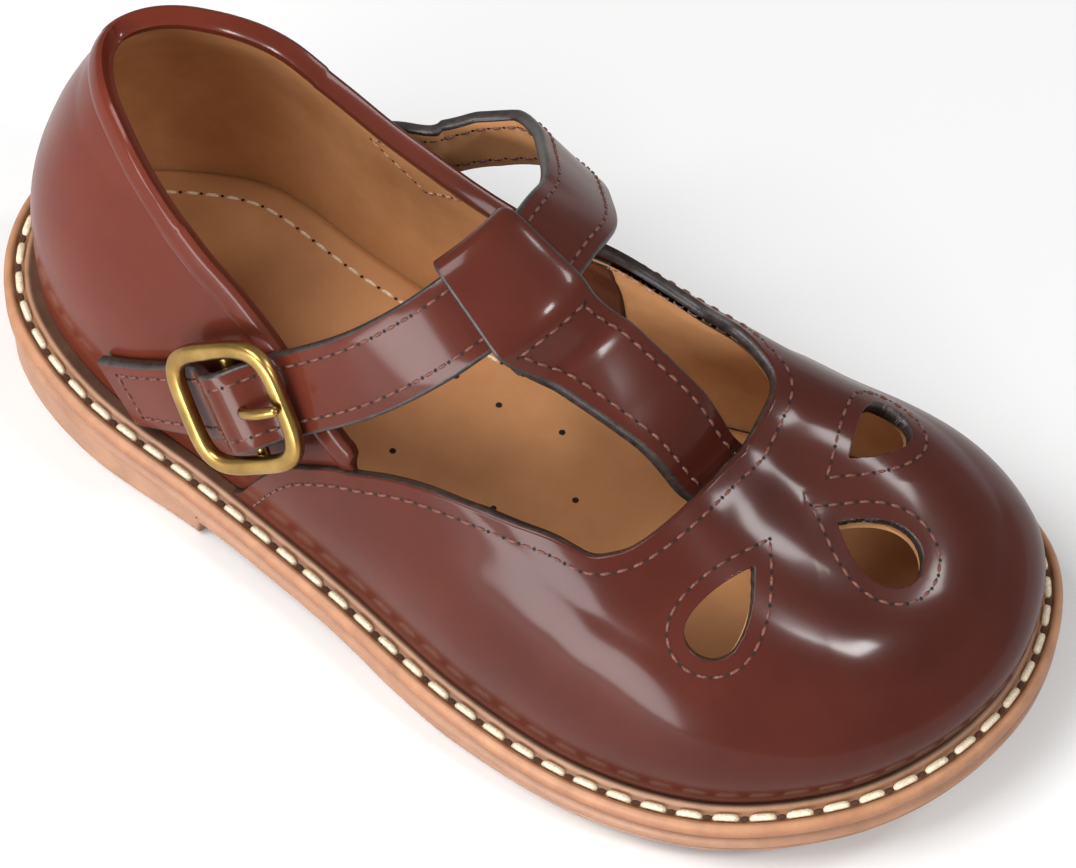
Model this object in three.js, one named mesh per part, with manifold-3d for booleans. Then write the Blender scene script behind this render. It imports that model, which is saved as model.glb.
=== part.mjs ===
// Child's T-bar mary jane shoe for the right foot, in millimetres.
// Toe towards +X, buckled (outer) side towards -Y, inner side towards +Y, floor at z = 0.
import * as THREE from 'three';
import { mergeVertices } from 'three/addons/utils/BufferGeometryUtils.js';
import Module from 'manifold-3d';

// Driving sizes
const shoeLength = 164;
const ballWidth = 74;
const instepHeight = 62.7;
const collarHeight = 59;
const weltHeight = 9.2;
const heelRise = 6.8;
const toeSpring = 6;
const waistLift = 2.6;
const weltThickness = 2.8;
const upperWall = 1.8;
const vampOverlay = 1.2;
const featherInset = 5.2;
const insoleThickness = 4.4;
const strapWidth = 12;
const strapThickness = 1.8;
const tBarWidth = 11.5;
const tBarThickness = 1.6;
const loopWidth = 13.5;
const buckleLength = 21;
const buckleWidth = 20;
const buckleBar = 2.6;
const centreBar = 1.8;
const prongDiameter = 1.6;
const tabThickness = 0.8;
const tabLength = 6.8;
const tabWidth = 9.6;
const loopFlap = 4.5;
const clearance = 0.3;

// How finely curved faces are divided
const stationsPerSide = 36;
const upperLevels = 9;
const strapSteps = 72;
const roundSides = 10;
const buckleSteps = 32;
const LATERAL = -1;
const MEDIAL = 1;

// Outline of the welt's lip: half widths as shares of the ball width, at shares of the length
const outlineRows = [
  { at: 0.0, lateral: 0.0, medial: 0.0 },
  { at: 0.07, lateral: 0.29, medial: 0.255 },
  { at: 0.168, lateral: 0.375, medial: 0.36 },
  { at: 0.305, lateral: 0.401, medial: 0.347 },
  { at: 0.451, lateral: 0.442, medial: 0.349 },
  { at: 0.597, lateral: 0.504, medial: 0.4 },
  { at: 0.715, lateral: 0.516, medial: 0.485 },
  { at: 0.832, lateral: 0.459, medial: 0.523 },
  { at: 0.93, lateral: 0.305, medial: 0.44 },
  { at: 1.0, lateral: -0.083, medial: 0.083 },
];

// Top line of the last: height as a share of the instep height
const ridgeRows = [
  { at: 0.18, height: 1.26 },
  { at: 0.3, height: 1.204 },
  { at: 0.4, height: 1.124 },
  { at: 0.52, height: 1.0 },
  { at: 0.63, height: 0.829 },
  { at: 0.72, height: 0.678 },
  { at: 0.8, height: 0.555 },
  { at: 0.86, height: 0.494 },
];

// Fullness of each side of the last: the power of its rounded section
const fullnessRows = [
  { at: 0.0, lateral: 2.0, medial: 2.0 },
  { at: 0.4, lateral: 2.0, medial: 2.15 },
  { at: 0.58, lateral: 2.0, medial: 2.1 },
  { at: 0.72, lateral: 2.1, medial: 1.9 },
  { at: 1.0, lateral: 2.3, medial: 2.15 },
];

// Collar and throat edge seen from the side: heights as shares of the collar height
const topEdgeRows = [
  { at: -0.06, lateral: 0.96, medial: 0.96 },
  { at: 0.085, lateral: 0.985, medial: 0.985 },
  { at: 0.11, lateral: 1.0, medial: 1.0 },
  { at: 0.14, lateral: 0.99, medial: 0.99 },
  { at: 0.2, lateral: 0.905, medial: 0.905 },
  { at: 0.262, lateral: 0.82, medial: 0.82 },
  { at: 0.344, lateral: 0.71, medial: 0.74 },
  { at: 0.41, lateral: 0.607, medial: 0.7 },
  { at: 0.446, lateral: 0.566, medial: 0.7 },
  { at: 0.479, lateral: 0.612, medial: 0.735 },
  { at: 0.518, lateral: 0.654, medial: 0.79 },
  { at: 0.565, lateral: 0.68, medial: 0.82 },
  { at: 0.61, lateral: 0.693, medial: 0.8 },
  { at: 0.64, lateral: 0.7, medial: 0.785 },
  { at: 0.66, lateral: 0.695, medial: 0.74 },
  { at: 0.7, lateral: 0.67, medial: 0.68 },
  { at: 0.73, lateral: 0.65, medial: 0.65 },
];

// Front of the throat seen from above: its reach to each side as shares of the ball width
const throatRows = [
  { at: -0.1, lateral: 0.7, medial: 0.7 },
  { at: 0.6, lateral: 0.7, medial: 0.7 },
  { at: 0.655, lateral: 0.34, medial: 0.226 },
  { at: 0.675, lateral: 0.305, medial: 0.216 },
  { at: 0.7, lateral: 0.259, medial: 0.193 },
  { at: 0.711, lateral: 0.205, medial: 0.178 },
  { at: 0.717, lateral: 0.155, medial: 0.155 },
  { at: 0.7215, lateral: 0.095, medial: 0.11 },
  { at: 0.724, lateral: 0, medial: 0.06 },
];

// Edge of the vamp where it laps over the quarter, seen from the side
const vampEdgeRows = [
  { at: 0.32, height: 0.0 },
  { at: 0.335, height: 0.17 },
  { at: 0.347, height: 0.269 },
  { at: 0.368, height: 0.378 },
  { at: 0.391, height: 0.469 },
  { at: 0.435, height: 0.55 },
  { at: 0.446, height: 0.6 },
  { at: 0.455, height: 1.4 },
];

// Teardrop cut-outs: tip and round end in the last's own coordinates
const teardropRows = [
  { side: LATERAL, tipStation: 0.756, tipRise: 0.741, endStation: 0.713, endRise: 0.446, width: 7.6 },
  { side: LATERAL, tipStation: 0.9, tipRise: 0.975, endStation: 1.0, endRise: 0.715, width: 9.6 },
  { side: MEDIAL, tipStation: 0.785, tipRise: 0.83, endStation: 0.73, endRise: 0.525, width: 7.6 },
];

// Side of the sole: share of the local thickness, lift in millimetres and inset from the lip
const soleSideRows = [
  { share: 0, lift: 0, inset: 2.4 },
  { share: 0, lift: 0.5, inset: 1.3 },
  { share: 0, lift: 1.4, inset: 0.8 },
  { share: 1, lift: -2.9, inset: 0.5 },
  { share: 1, lift: -2.5, inset: 1.1 },
  { share: 1, lift: -2.1, inset: 0.3 },
  { share: 1, lift: -0.9, inset: 0 },
  { share: 1, lift: -0.3, inset: 0.5 },
  { share: 1, lift: 0, inset: 1.3 },
];

// Welt section: inset from the lip and height over the welt's own top
const weltRows = [
  { inset: 1.2, height: -weltThickness },
  { inset: 0.3, height: -0.8 * weltThickness },
  { inset: 0, height: -0.5 * weltThickness },
  { inset: 0.4, height: -0.15 * weltThickness },
  { inset: 1.0, height: 0 },
  { inset: 1.7, height: -0.5 },
  { inset: 2.6, height: -0.5 },
  { inset: 3.0, height: 0.2 },
  { inset: 3.5, height: 0.2 },
  { inset: 3.8, height: 0 },
];

// Ankle strap from its free end, over the instep and down to its seam on the inner quarter
const strapRows = [
  { side: LATERAL, station: 0.302, rise: 0.07, lift: 1.3 },
  { side: LATERAL, station: 0.33, rise: 0.12, lift: 1.3 },
  { side: LATERAL, station: 0.362, rise: 0.19, lift: 1.5 },
  { side: LATERAL, station: 0.395, rise: 0.28, lift: 1.6 },
  { side: LATERAL, station: 0.425, rise: 0.38, lift: 1.8 },
  { side: LATERAL, station: 0.452, rise: 0.5, lift: 2.2 },
  { side: LATERAL, station: 0.474, rise: 0.64, lift: 2.6 },
  { side: LATERAL, station: 0.485, rise: 0.744, lift: 3.1 },
  { side: LATERAL, station: 0.494, rise: 0.873, lift: 2.9 },
  { side: LATERAL, station: 0.495, rise: 0.976, lift: 2.4 },
  { side: MEDIAL, station: 0.497, rise: 0.88, lift: 1.9 },
  { side: MEDIAL, station: 0.495, rise: 0.702, lift: 3.1 },
  { side: MEDIAL, station: 0.478, rise: 0.549, lift: 6.3 },
  { side: MEDIAL, station: 0.46, rise: 0.441, lift: 9.8 },
  { side: MEDIAL, station: 0.435, rise: 0.344, lift: 11.6 },
  { side: MEDIAL, station: 0.41, rise: 0.312, lift: 8.7 },
  { side: MEDIAL, station: 0.393, rise: 0.299, lift: 5.0 },
  { side: MEDIAL, station: 0.381, rise: 0.292, lift: 2.2 },
  { side: MEDIAL, station: 0.37, rise: 0.266, lift: 1.4 },
  { side: MEDIAL, station: 0.361, rise: 0.242, lift: 1.3 },
];
const buckleRow = 3;
const loopRow = 8;

// T-bar in side view along the ridge: its underside from the vamp up to the loop
const tBarRows = [
  { at: 0.757, lift: -upperWall - clearance - tBarThickness },
  { at: 0.71, lift: -upperWall - clearance - tBarThickness },
  { at: 0.688, lift: -1.8 },
  { at: 0.668, lift: -0.5 },
  { at: 0.64, lift: -0.1 },
  { at: 0.604, lift: 0 },
  { at: 0.58, lift: 0 },
];

// Returns a smooth function through one column of a table
function curveThrough(rows, column, key = 'at') {
  const xs = rows.map((row) => row[key]);
  const ys = rows.map((row) => row[column]);
  const last = xs.length - 1;
  const slope = (i) => {
    if (i === 0) return (ys[1] - ys[0]) / (xs[1] - xs[0]);
    if (i === last) return (ys[last] - ys[last - 1]) / (xs[last] - xs[last - 1]);
    const before = xs[i] - xs[i - 1];
    const after = xs[i + 1] - xs[i];
    const rise = (ys[i] - ys[i - 1]) / before * after + (ys[i + 1] - ys[i]) / after * before;
    return rise / (before + after);
  };
  const slopes = xs.map((_, i) => slope(i));
  return (x) => {
    const at = THREE.MathUtils.clamp(x, xs[0], xs[last]);
    let i = 0;
    while (i < last - 1 && at > xs[i + 1]) i += 1;
    const span = xs[i + 1] - xs[i];
    const t = (at - xs[i]) / span;
    const a = (2 * t ** 3 - 3 * t ** 2 + 1) * ys[i] + (3 * t ** 2 - 2 * t ** 3) * ys[i + 1];
    const b = (t ** 3 - 2 * t ** 2 + t) * slopes[i] + (t ** 3 - t ** 2) * slopes[i + 1];
    return a + span * b;
  };
}

// A station runs from 0 at the heel to 1 at the toe, so that both ends are round
const lengthShare = (station) => (1 - Math.cos(Math.PI * station)) / 2;
const stationOf = (share) => Math.acos(1 - 2 * share) / Math.PI;
const stationRows = outlineRows.map((row) => ({ ...row, station: stationOf(row.at) }));
const halfWidth = {
  [LATERAL]: curveThrough(stationRows, 'lateral', 'station'),
  [MEDIAL]: curveThrough(stationRows, 'medial', 'station'),
};
const ridgeHeight = curveThrough(ridgeRows, 'height');
const fullness = {
  [LATERAL]: curveThrough(fullnessRows, 'lateral'),
  [MEDIAL]: curveThrough(fullnessRows, 'medial'),
};

const tipOffset = outlineRows[outlineRows.length - 1].medial * ballWidth;
const ridgeStart = 0.238 * shoeLength;
const ridgeEnd = 0.817 * shoeLength;
const sideBulge = 1.5;

function lipPoint(side, station) {
  const y = side * ballWidth * halfWidth[side](station);
  return new THREE.Vector2(shoeLength * lengthShare(station), y);
}

// Point of the sole's outline moved inwards by a distance
function outlinePoint(side, station, inset) {
  const step = 1e-4;
  const before = lipPoint(side, Math.max(station - step, 0));
  const after = lipPoint(side, Math.min(station + step, 1));
  const along = after.sub(before).normalize();
  const inward = new THREE.Vector2(side * along.y, -side * along.x);
  return lipPoint(side, station).addScaledVector(inward, inset);
}

// Height of the welt's top face over the floor
function weltTop(station) {
  const share = lengthShare(station);
  const heel = Math.max(1 - share / 0.5, 0) ** 1.3;
  const toe = Math.max((share - 0.62) / 0.38, 0) ** 2;
  return weltHeight + heelRise * heel + (toeSpring + 0.4) * toe;
}

// Height of the tread: flat heel, raised waist behind the breast, flat ball, sprung toe
const heelBreast = 0.3;
const ballStart = 0.52;
const springStart = 0.7;
function treadHeight(station) {
  const share = lengthShare(station);
  if (share <= heelBreast) return 0;
  const waist = (share - heelBreast) / (ballStart - heelBreast);
  if (waist < 1) return waistLift * Math.cos(waist * Math.PI / 2);
  return toeSpring * Math.max((share - springStart) / (1 - springStart), 0) ** 2;
}

const middleLine = (x) => tipOffset * THREE.MathUtils.clamp(x / shoeLength, 0, 1) ** 3;

// Surface of the last: rise 0 on the welt, 1 on the top line; lift moves it outwards
function lastPoint(side, station, rise, lift = 0) {
  const foot = outlinePoint(side, station, featherInset - lift);
  const share = THREE.MathUtils.clamp(foot.x / shoeLength, 0, 1);
  const ridgeX = ridgeStart + (ridgeEnd - ridgeStart) * lengthShare(station);
  const ridgeY = middleLine(ridgeX);
  const ridgeZ = instepHeight * ridgeHeight(ridgeX / shoeLength) + lift;
  const footZ = weltTop(station) + clearance;
  const power = 2 / fullness[side](share);
  const angle = rise * Math.PI / 2;
  const across = rise >= 1 ? 0 : Math.cos(angle) ** power;
  const up = Math.sin(angle) ** power;
  const reach = Math.hypot(foot.x - ridgeX, foot.y - ridgeY);
  const bulge = rise >= 1 ? 0 : sideBulge * Math.sin(Math.PI * Math.min(1.6 * up, 1));
  const scale = across + bulge / reach;
  return new THREE.Vector3(
    ridgeX + (foot.x - ridgeX) * scale,
    ridgeY + (foot.y - ridgeY) * scale,
    footZ + (ridgeZ - footZ) * up,
  );
}

// Outward direction of the last's surface
function lastNormal(side, station, rise) {
  const step = 1e-3;
  const low = Math.min(rise, 1 - 2 * step);
  const along = lastPoint(side, station + step, low).sub(lastPoint(side, station - step, low));
  const up = lastPoint(side, station, low + step).sub(lastPoint(side, station, low - step));
  return along.cross(up).multiplyScalar(-side).normalize();
}

// Stations of one ring: outer side from heel to toe, then inner side back to the heel
const breastGap = 0.004;
const sideStations = [...Array(stationsPerSide + 1).keys()].map((i) => i / stationsPerSide);
const soleStations = [...sideStations, stationOf(heelBreast), stationOf(heelBreast + breastGap)]
  .sort((a, b) => a - b);
function ringStations(stations) {
  const outer = stations.map((station) => ({ side: LATERAL, station }));
  const inner = stations.slice(1, -1).reverse().map((station) => ({ side: MEDIAL, station }));
  return [...outer, ...inner];
}

function geometryOf(points, triangles) {
  const geometry = new THREE.BufferGeometry();
  const values = points.flatMap((point) => [point.x, point.y, point.z]);
  geometry.setAttribute('position', new THREE.Float32BufferAttribute(values, 3));
  geometry.setIndex(triangles);
  return geometry;
}

// Joins rings of equal count with quads: closed round each ring
function bandTriangles(rings, count, closeLoop) {
  const triangles = [];
  const bands = closeLoop ? rings : rings - 1;
  for (let k = 0; k < bands; k += 1) {
    for (let i = 0; i < count; i += 1) {
      const a = k * count + i;
      const b = k * count + (i + 1) % count;
      const c = ((k + 1) % rings) * count + (i + 1) % count;
      const d = ((k + 1) % rings) * count + i;
      triangles.push(a, b, c, a, c, d);
    }
  }
  return triangles;
}

// Strip across a ring that has an outer and an inner side
function capTriangles(first, count, up) {
  const triangles = [];
  const add = (a, b, c) => triangles.push(...(up ? [a, b, c] : [a, c, b]));
  for (let i = 0; i < count / 2; i += 1) {
    const far = (count - i) % count;
    const farNext = count - i - 1;
    if (i > 0) add(first + i, first + i + 1, first + far);
    if (farNext > i + 1) add(first + i + 1, first + farNext, first + far);
  }
  return triangles;
}

// Solid between stacked rings, from the lowest ring to the highest
function stackedRings(rings) {
  const count = rings[0].length;
  const triangles = bandTriangles(rings.length, count, false);
  triangles.push(...capTriangles(0, count, false));
  triangles.push(...capTriangles((rings.length - 1) * count, count, true));
  return geometryOf(rings.flat(), triangles);
}

function flatRing(stations, inset, heightAt) {
  return ringStations(stations).map(({ side, station }) => {
    const point = outlinePoint(side, station, inset);
    return new THREE.Vector3(point.x, point.y, heightAt(station));
  });
}

const wasm = await Module();
wasm.setup();

function solidOf(geometry) {
  const bare = geometry.clone();
  bare.deleteAttribute('normal');
  bare.deleteAttribute('uv');
  const merged = mergeVertices(bare, 1e-4);
  return new wasm.Manifold(new wasm.Mesh({
    numProp: 3,
    vertProperties: new Float32Array(merged.attributes.position.array),
    triVerts: new Uint32Array(merged.index.array),
  }));
}

// Cuts along shared faces leave crumbs without volume
function largestBody(solid) {
  return solid.decompose().reduce((a, b) => (a.volume() > b.volume() ? a : b));
}

function geometryOfSolid(solid) {
  const mesh = solid.getMesh();
  const geometry = new THREE.BufferGeometry();
  geometry.setAttribute('position', new THREE.BufferAttribute(mesh.vertProperties, 3));
  geometry.setIndex(new THREE.BufferAttribute(mesh.triVerts, 1));
  return geometry;
}

// Rubber sole with its low heel moulded in one, its wall undercut towards the toe
const toeUndercut = 2.4;
function outsoleGeometry() {
  const top = (station) => weltTop(station) - weltThickness - clearance;
  const rings = soleSideRows.map(({ share, lift, inset }) => (
    ringStations(soleStations).map(({ side, station }) => {
      const undercut = (1 - share) * toeUndercut * Math.max(lengthShare(station) - 0.6, 0) / 0.4;
      const point = outlinePoint(side, station, inset + undercut);
      const height = THREE.MathUtils.lerp(treadHeight(station), top(station), share) + lift;
      return new THREE.Vector3(point.x, point.y, height);
    })
  ));
  return stackedRings(rings);
}

// Storm welt all round: rounded lip, sunk stitch channel and the bead beside the upper
function weltGeometry() {
  const innerInset = featherInset + upperWall;
  const section = [
    ...weltRows,
    { inset: innerInset, height: 0 },
    { inset: innerInset, height: -weltThickness },
  ];
  const rings = section.map(({ inset, height }) => (
    flatRing(sideStations, inset, (station) => weltTop(station) + height)
  ));
  return geometryOf(rings.flat(), bandTriangles(rings.length, rings[0].length, true));
}

// Footbed, seated on the sole inside the welt and the upper
function insoleGeometry() {
  const inset = featherInset + upperWall + clearance;
  const base = (station) => weltTop(station) - weltThickness;
  const rows = [
    { inset, height: 0 },
    { inset, height: insoleThickness - 0.6 },
    { inset: inset + 0.7, height: insoleThickness },
  ];
  return stackedRings(rows.map((row) => (
    flatRing(sideStations, row.inset, (station) => base(station) + row.height)
  )));
}

// Shell between two lifts of the last, open underneath
function lastShell(outerLift, innerLift) {
  const stations = ringStations(sideStations);
  const levels = [...Array(upperLevels + 1).keys()].map((i) => i / upperLevels);
  const ringAt = (rise, lift) => stations.map(({ side, station }) => lastPoint(side, station, rise, lift));
  const outer = levels.map((rise) => ringAt(rise, outerLift));
  const inner = levels.map((rise) => ringAt(rise, innerLift)).reverse();
  const count = stations.length;
  const outerFaces = bandTriangles(outer.length, count, false);
  const innerFaces = bandTriangles(inner.length, count, false).map((i) => i + outer.length * count);
  const foot = [];
  for (let i = 0; i < count; i += 1) {
    const next = (i + 1) % count;
    const lowInner = (2 * outer.length - 1) * count;
    foot.push(lowInner + i, lowInner + next, next, lowInner + i, next, i);
  }
  return solidOf(geometryOf([...outer, ...inner].flat(), [...outerFaces, ...innerFaces, ...foot]));
}

// Block between two values of y whose outline is drawn in side view
function sideBlock(outline, yLow, yHigh) {
  const shape = new THREE.Shape(outline);
  const block = new THREE.ExtrudeGeometry(shape, { depth: yHigh - yLow, bevelEnabled: false });
  block.rotateX(Math.PI / 2).translate(0, yHigh, 0);
  return solidOf(block);
}

const sideReach = ballWidth;
const aboveShoe = 2 * instepHeight;

// Everything over the collar and throat edge on one side
function openingBlock(column, yLow, yHigh) {
  const height = curveThrough(topEdgeRows, column);
  const from = topEdgeRows[0].at;
  const to = topEdgeRows[topEdgeRows.length - 1].at;
  const steps = 44;
  const outline = [...Array(steps + 1).keys()].map((i) => {
    const at = from + (to - from) * i / steps;
    return new THREE.Vector2(at * shoeLength, height(at) * collarHeight);
  });
  outline.push(new THREE.Vector2(to * shoeLength, aboveShoe));
  outline.push(new THREE.Vector2(from * shoeLength, aboveShoe));
  return sideBlock(outline, yLow, yHigh).intersect(throatBlock());
}

// Upright block over the throat, round at its front
function throatBlock() {
  const edge = (column, side) => throatRows.map((row) => (
    new THREE.Vector2(row.at * shoeLength, side * row[column] * ballWidth)
  ));
  const shape = new THREE.Shape([...edge('lateral', LATERAL), ...edge('medial', MEDIAL).reverse()]);
  return solidOf(new THREE.ExtrudeGeometry(shape, { depth: aboveShoe, bevelEnabled: false }));
}

// Everything in front of the vamp's edge
function vampBlock() {
  const outline = vampEdgeRows.map(({ at, height }) => (
    new THREE.Vector2(at * shoeLength, height * collarHeight)
  ));
  outline.push(new THREE.Vector2(1.1 * shoeLength, aboveShoe));
  outline.push(new THREE.Vector2(1.1 * shoeLength, 0));
  return sideBlock(outline, -sideReach, sideReach);
}

// Teardrop with a sharp tip at the origin and its round end on +X
function teardropShape(length, width) {
  const radius = width / 2;
  const middle = length - radius;
  const shape = new THREE.Shape();
  shape.moveTo(0, 0);
  shape.quadraticCurveTo(0.55 * middle, -radius, middle, -radius);
  shape.absarc(middle, 0, radius, -Math.PI / 2, Math.PI / 2, false);
  shape.quadraticCurveTo(0.55 * middle, radius, 0, 0);
  return shape;
}

function teardropCutter({ side, tipStation, tipRise, endStation, endRise, width }) {
  const depth = 16;
  const tip = lastPoint(side, tipStation, tipRise);
  const end = lastPoint(side, endStation, endRise);
  const along = end.clone().sub(tip);
  const length = along.length();
  const normal = lastNormal(side, (tipStation + endStation) / 2, (tipRise + endRise) / 2);
  along.normalize();
  normal.addScaledVector(along, -normal.dot(along)).normalize();
  const frame = new THREE.Matrix4().makeBasis(along, normal.clone().cross(along), normal);
  const shape = teardropShape(length, width);
  const block = new THREE.ExtrudeGeometry(shape, { depth, bevelEnabled: false, curveSegments: 8 });
  block.translate(0, 0, -depth / 2).applyMatrix4(frame.setPosition(tip));
  return solidOf(block);
}

// One hollow upper: quarters, vamp lapped over them, open at collar, throat and teardrops
function upperGeometry() {
  const quarters = lastShell(0, -upperWall);
  const vamp = lastShell(vampOverlay, -upperWall / 2).intersect(vampBlock());
  const middle = middleLine(0.6 * shoeLength);
  let upper = quarters.add(vamp);
  upper = upper.subtract(openingBlock('lateral', -sideReach, middle + clearance));
  upper = upper.subtract(openingBlock('medial', middle, sideReach));
  teardropRows.forEach((row) => {
    upper = upper.subtract(teardropCutter(row));
  });
  return geometryOfSolid(largestBody(upper));
}

// Sweeps a section along frames that hold a centre, a width and an outward direction
function sweptGeometry(frames, section, closed) {
  const points = frames.flatMap(({ centre, across, out }) => section.map(([a, b]) => (
    centre.clone().addScaledVector(across, a).addScaledVector(out, b)
  )));
  const count = section.length;
  const triangles = bandTriangles(frames.length, count, closed);
  const lastRing = (frames.length - 1) * count;
  for (let i = 1; i < count - 1 && !closed; i += 1) {
    triangles.push(0, i + 1, i, lastRing, lastRing + i, lastRing + i + 1);
  }
  return geometryOf(points, triangles);
}

function bandSection(width, thickness) {
  const edge = 0.3 * thickness;
  const half = width / 2;
  const high = thickness / 2;
  return [
    [-half, -high + edge], [-half + edge, -high], [half - edge, -high], [half, -high + edge],
    [half, high - edge], [half - edge, high], [-half + edge, high], [-half, high - edge],
  ];
}

function roundSection(diameter) {
  return [...Array(roundSides).keys()].map((i) => {
    const angle = 2 * Math.PI * i / roundSides;
    return [diameter / 2 * Math.cos(angle), diameter / 2 * Math.sin(angle)];
  });
}

// Frames along a list of centres, each with its outward direction
function framesAlong(centres, outs) {
  return centres.map((centre, i) => {
    const before = centres[Math.max(i - 1, 0)];
    const after = centres[Math.min(i + 1, centres.length - 1)];
    const along = after.clone().sub(before).normalize();
    const across = outs[i].clone().cross(along).normalize();
    return { centre, along, across, out: along.clone().cross(across).normalize() };
  });
}

// The buckle's own axes: along the strap, across it and away from the last
const onLast = ({ side, station, rise }, lift) => (
  lastPoint(side, station, rise).addScaledVector(lastNormal(side, station, rise), lift)
);
const buckleMark = strapRows[buckleRow];
const buckleSeat = onLast(buckleMark, 0);
const buckleOut = lastNormal(buckleMark.side, buckleMark.station, buckleMark.rise);
const buckleAlong = onLast(strapRows[buckleRow + 1], 0).sub(onLast(strapRows[buckleRow - 1], 0));
buckleAlong.addScaledVector(buckleOut, -buckleAlong.dot(buckleOut)).normalize();
const buckleFrame = new THREE.Matrix4()
  .makeBasis(buckleAlong, buckleOut.clone().cross(buckleAlong), buckleOut)
  .setPosition(buckleSeat);

// Heights over the quarter under the buckle
const buckleEase = 0.3;
const centreBarLift = 2 * clearance + tabThickness + centreBar / 2 + buckleEase;
const strapOverBar = centreBarLift + centreBar / 2 + 3 * clearance + tabThickness + strapThickness / 2;
const buckleLift = buckleMark.lift + strapThickness / 2 + clearance + buckleEase + buckleBar / 2;
const bumpReach = 4.6;

// Ankle strap, raised where it passes over the buckle's centre bar
function strapFrames(steps = strapSteps) {
  const smooth = (points) => new THREE.CatmullRomCurve3(points, false, 'centripetal');
  const outward = smooth(strapRows.map((row) => lastNormal(row.side, row.station, row.rise)));
  const route = smooth(strapRows.map((row) => onLast(row, row.lift)));
  const bump = strapOverBar - buckleMark.lift;
  const summit = onLast(buckleMark, buckleMark.lift);
  const outs = [...Array(steps + 1).keys()].map((i) => outward.getPoint(i / steps).normalize());
  const centres = outs.map((out, i) => {
    const centre = route.getPoint(i / steps);
    const away = centre.distanceTo(summit) / bumpReach;
    return centre.addScaledVector(out, bump * Math.exp(-(away ** 2)));
  });
  return framesAlong(centres, outs);
}

// Tube of a round section along points given in the buckle's axes
function buckleRod(points, diameter) {
  const centres = points.map(([x, y, z]) => new THREE.Vector3(x, y, z).applyMatrix4(buckleFrame));
  const outs = centres.map(() => buckleOut);
  return sweptGeometry(framesAlong(centres, outs), roundSection(diameter), false);
}

// Rod across the buckle, whose own run is square to the strap
function crossRod(reach, lift, diameter) {
  const rod = new THREE.CylinderGeometry(diameter / 2, diameter / 2, 2 * reach, roundSides);
  return rod.translate(0, 0, lift).applyMatrix4(buckleFrame);
}

// Rounded rectangular ring with its centre bar cast in one
function buckleGeometry() {
  const halfLong = (buckleLength - buckleBar) / 2;
  const halfWide = (buckleWidth - buckleBar) / 2;
  const section = roundSection(buckleBar);
  const rounded = (value) => Math.sign(value) * Math.sqrt(Math.abs(value));
  const frames = [...Array(buckleSteps).keys()].map((i) => {
    const angle = -2 * Math.PI * i / buckleSteps;
    const x = halfLong * rounded(Math.cos(angle));
    const y = halfWide * rounded(Math.sin(angle));
    const away = new THREE.Vector3(x * Math.abs(x) / halfLong ** 3, y * Math.abs(y) / halfWide ** 3, 0);
    return {
      centre: new THREE.Vector3(x, y, buckleLift),
      across: away.normalize(),
      out: new THREE.Vector3(0, 0, 1),
    };
  });
  const ring = sweptGeometry(frames, section, true).applyMatrix4(buckleFrame);
  const bar = crossRod(halfWide, centreBarLift, centreBar);
  return geometryOfSolid(solidOf(ring).add(solidOf(bar)));
}

// Prong: from beside the centre bar, up through the strap and onto the far bar
const prongSeat = buckleLift + (buckleBar + prongDiameter) / 2 + clearance;
const prongPoints = [
  [centreBar / 2 + clearance + prongDiameter / 2, 0, centreBarLift],
  [0.3 * buckleLength / 2, 0, strapOverBar],
  [0.54 * buckleLength / 2, 0, prongSeat + buckleEase],
  [0.96 * buckleLength / 2, 0, prongSeat],
];
function prongRoom() {
  const [[x0, y0, z0], [x1, y1, z1]] = prongPoints;
  const before = [x0 - 0.3 * (x1 - x0), y0 - 0.3 * (y1 - y0), z0 - 0.3 * (z1 - z0)];
  return solidOf(buckleRod([before, ...prongPoints], prongDiameter + 3 * clearance));
}

function strapGeometry() {
  const band = sweptGeometry(strapFrames(), bandSection(strapWidth, strapThickness), false);
  return geometryOfSolid(largestBody(solidOf(band).subtract(prongRoom())));
}

// Tab sewn on the quarter, folded round the centre bar
function tabGeometry() {
  const plate = new THREE.BoxGeometry(tabLength, tabWidth, tabThickness);
  plate.translate(0, 0, clearance + tabThickness / 2).applyMatrix4(buckleFrame);
  const roomDiameter = centreBar + 2 * clearance;
  const fold = solidOf(crossRod(tabWidth / 2, centreBarLift, roomDiameter + 2 * tabThickness));
  const room = solidOf(crossRod(tabWidth, centreBarLift, roomDiameter));
  return geometryOfSolid(largestBody(solidOf(plate).add(fold).subtract(room).subtract(prongRoom())));
}

// Point over the ridge line of the last, lift square to it in side view
function ridgePoint(at, lift) {
  const share = THREE.MathUtils.clamp((at * shoeLength - ridgeStart) / (ridgeEnd - ridgeStart), 0, 1);
  const point = lastPoint(LATERAL, stationOf(share), 1);
  const step = 0.01;
  const slope = instepHeight * (ridgeHeight(at + step) - ridgeHeight(at - step)) / (2 * step * shoeLength);
  const normal = new THREE.Vector2(-slope, 1).normalize();
  return new THREE.Vector2(point.x + normal.x * lift, point.z + normal.y * lift);
}

// Plan line of the T-bar: it leans outwards from the throat's front to the loop
const throatFront = throatRows[throatRows.length - 1].at * shoeLength;
const tBarAside = 0.6;
const tBarLean = 0.18;
const tBarLine = (x) => -tBarAside - tBarLean * (throatFront - x);

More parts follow.
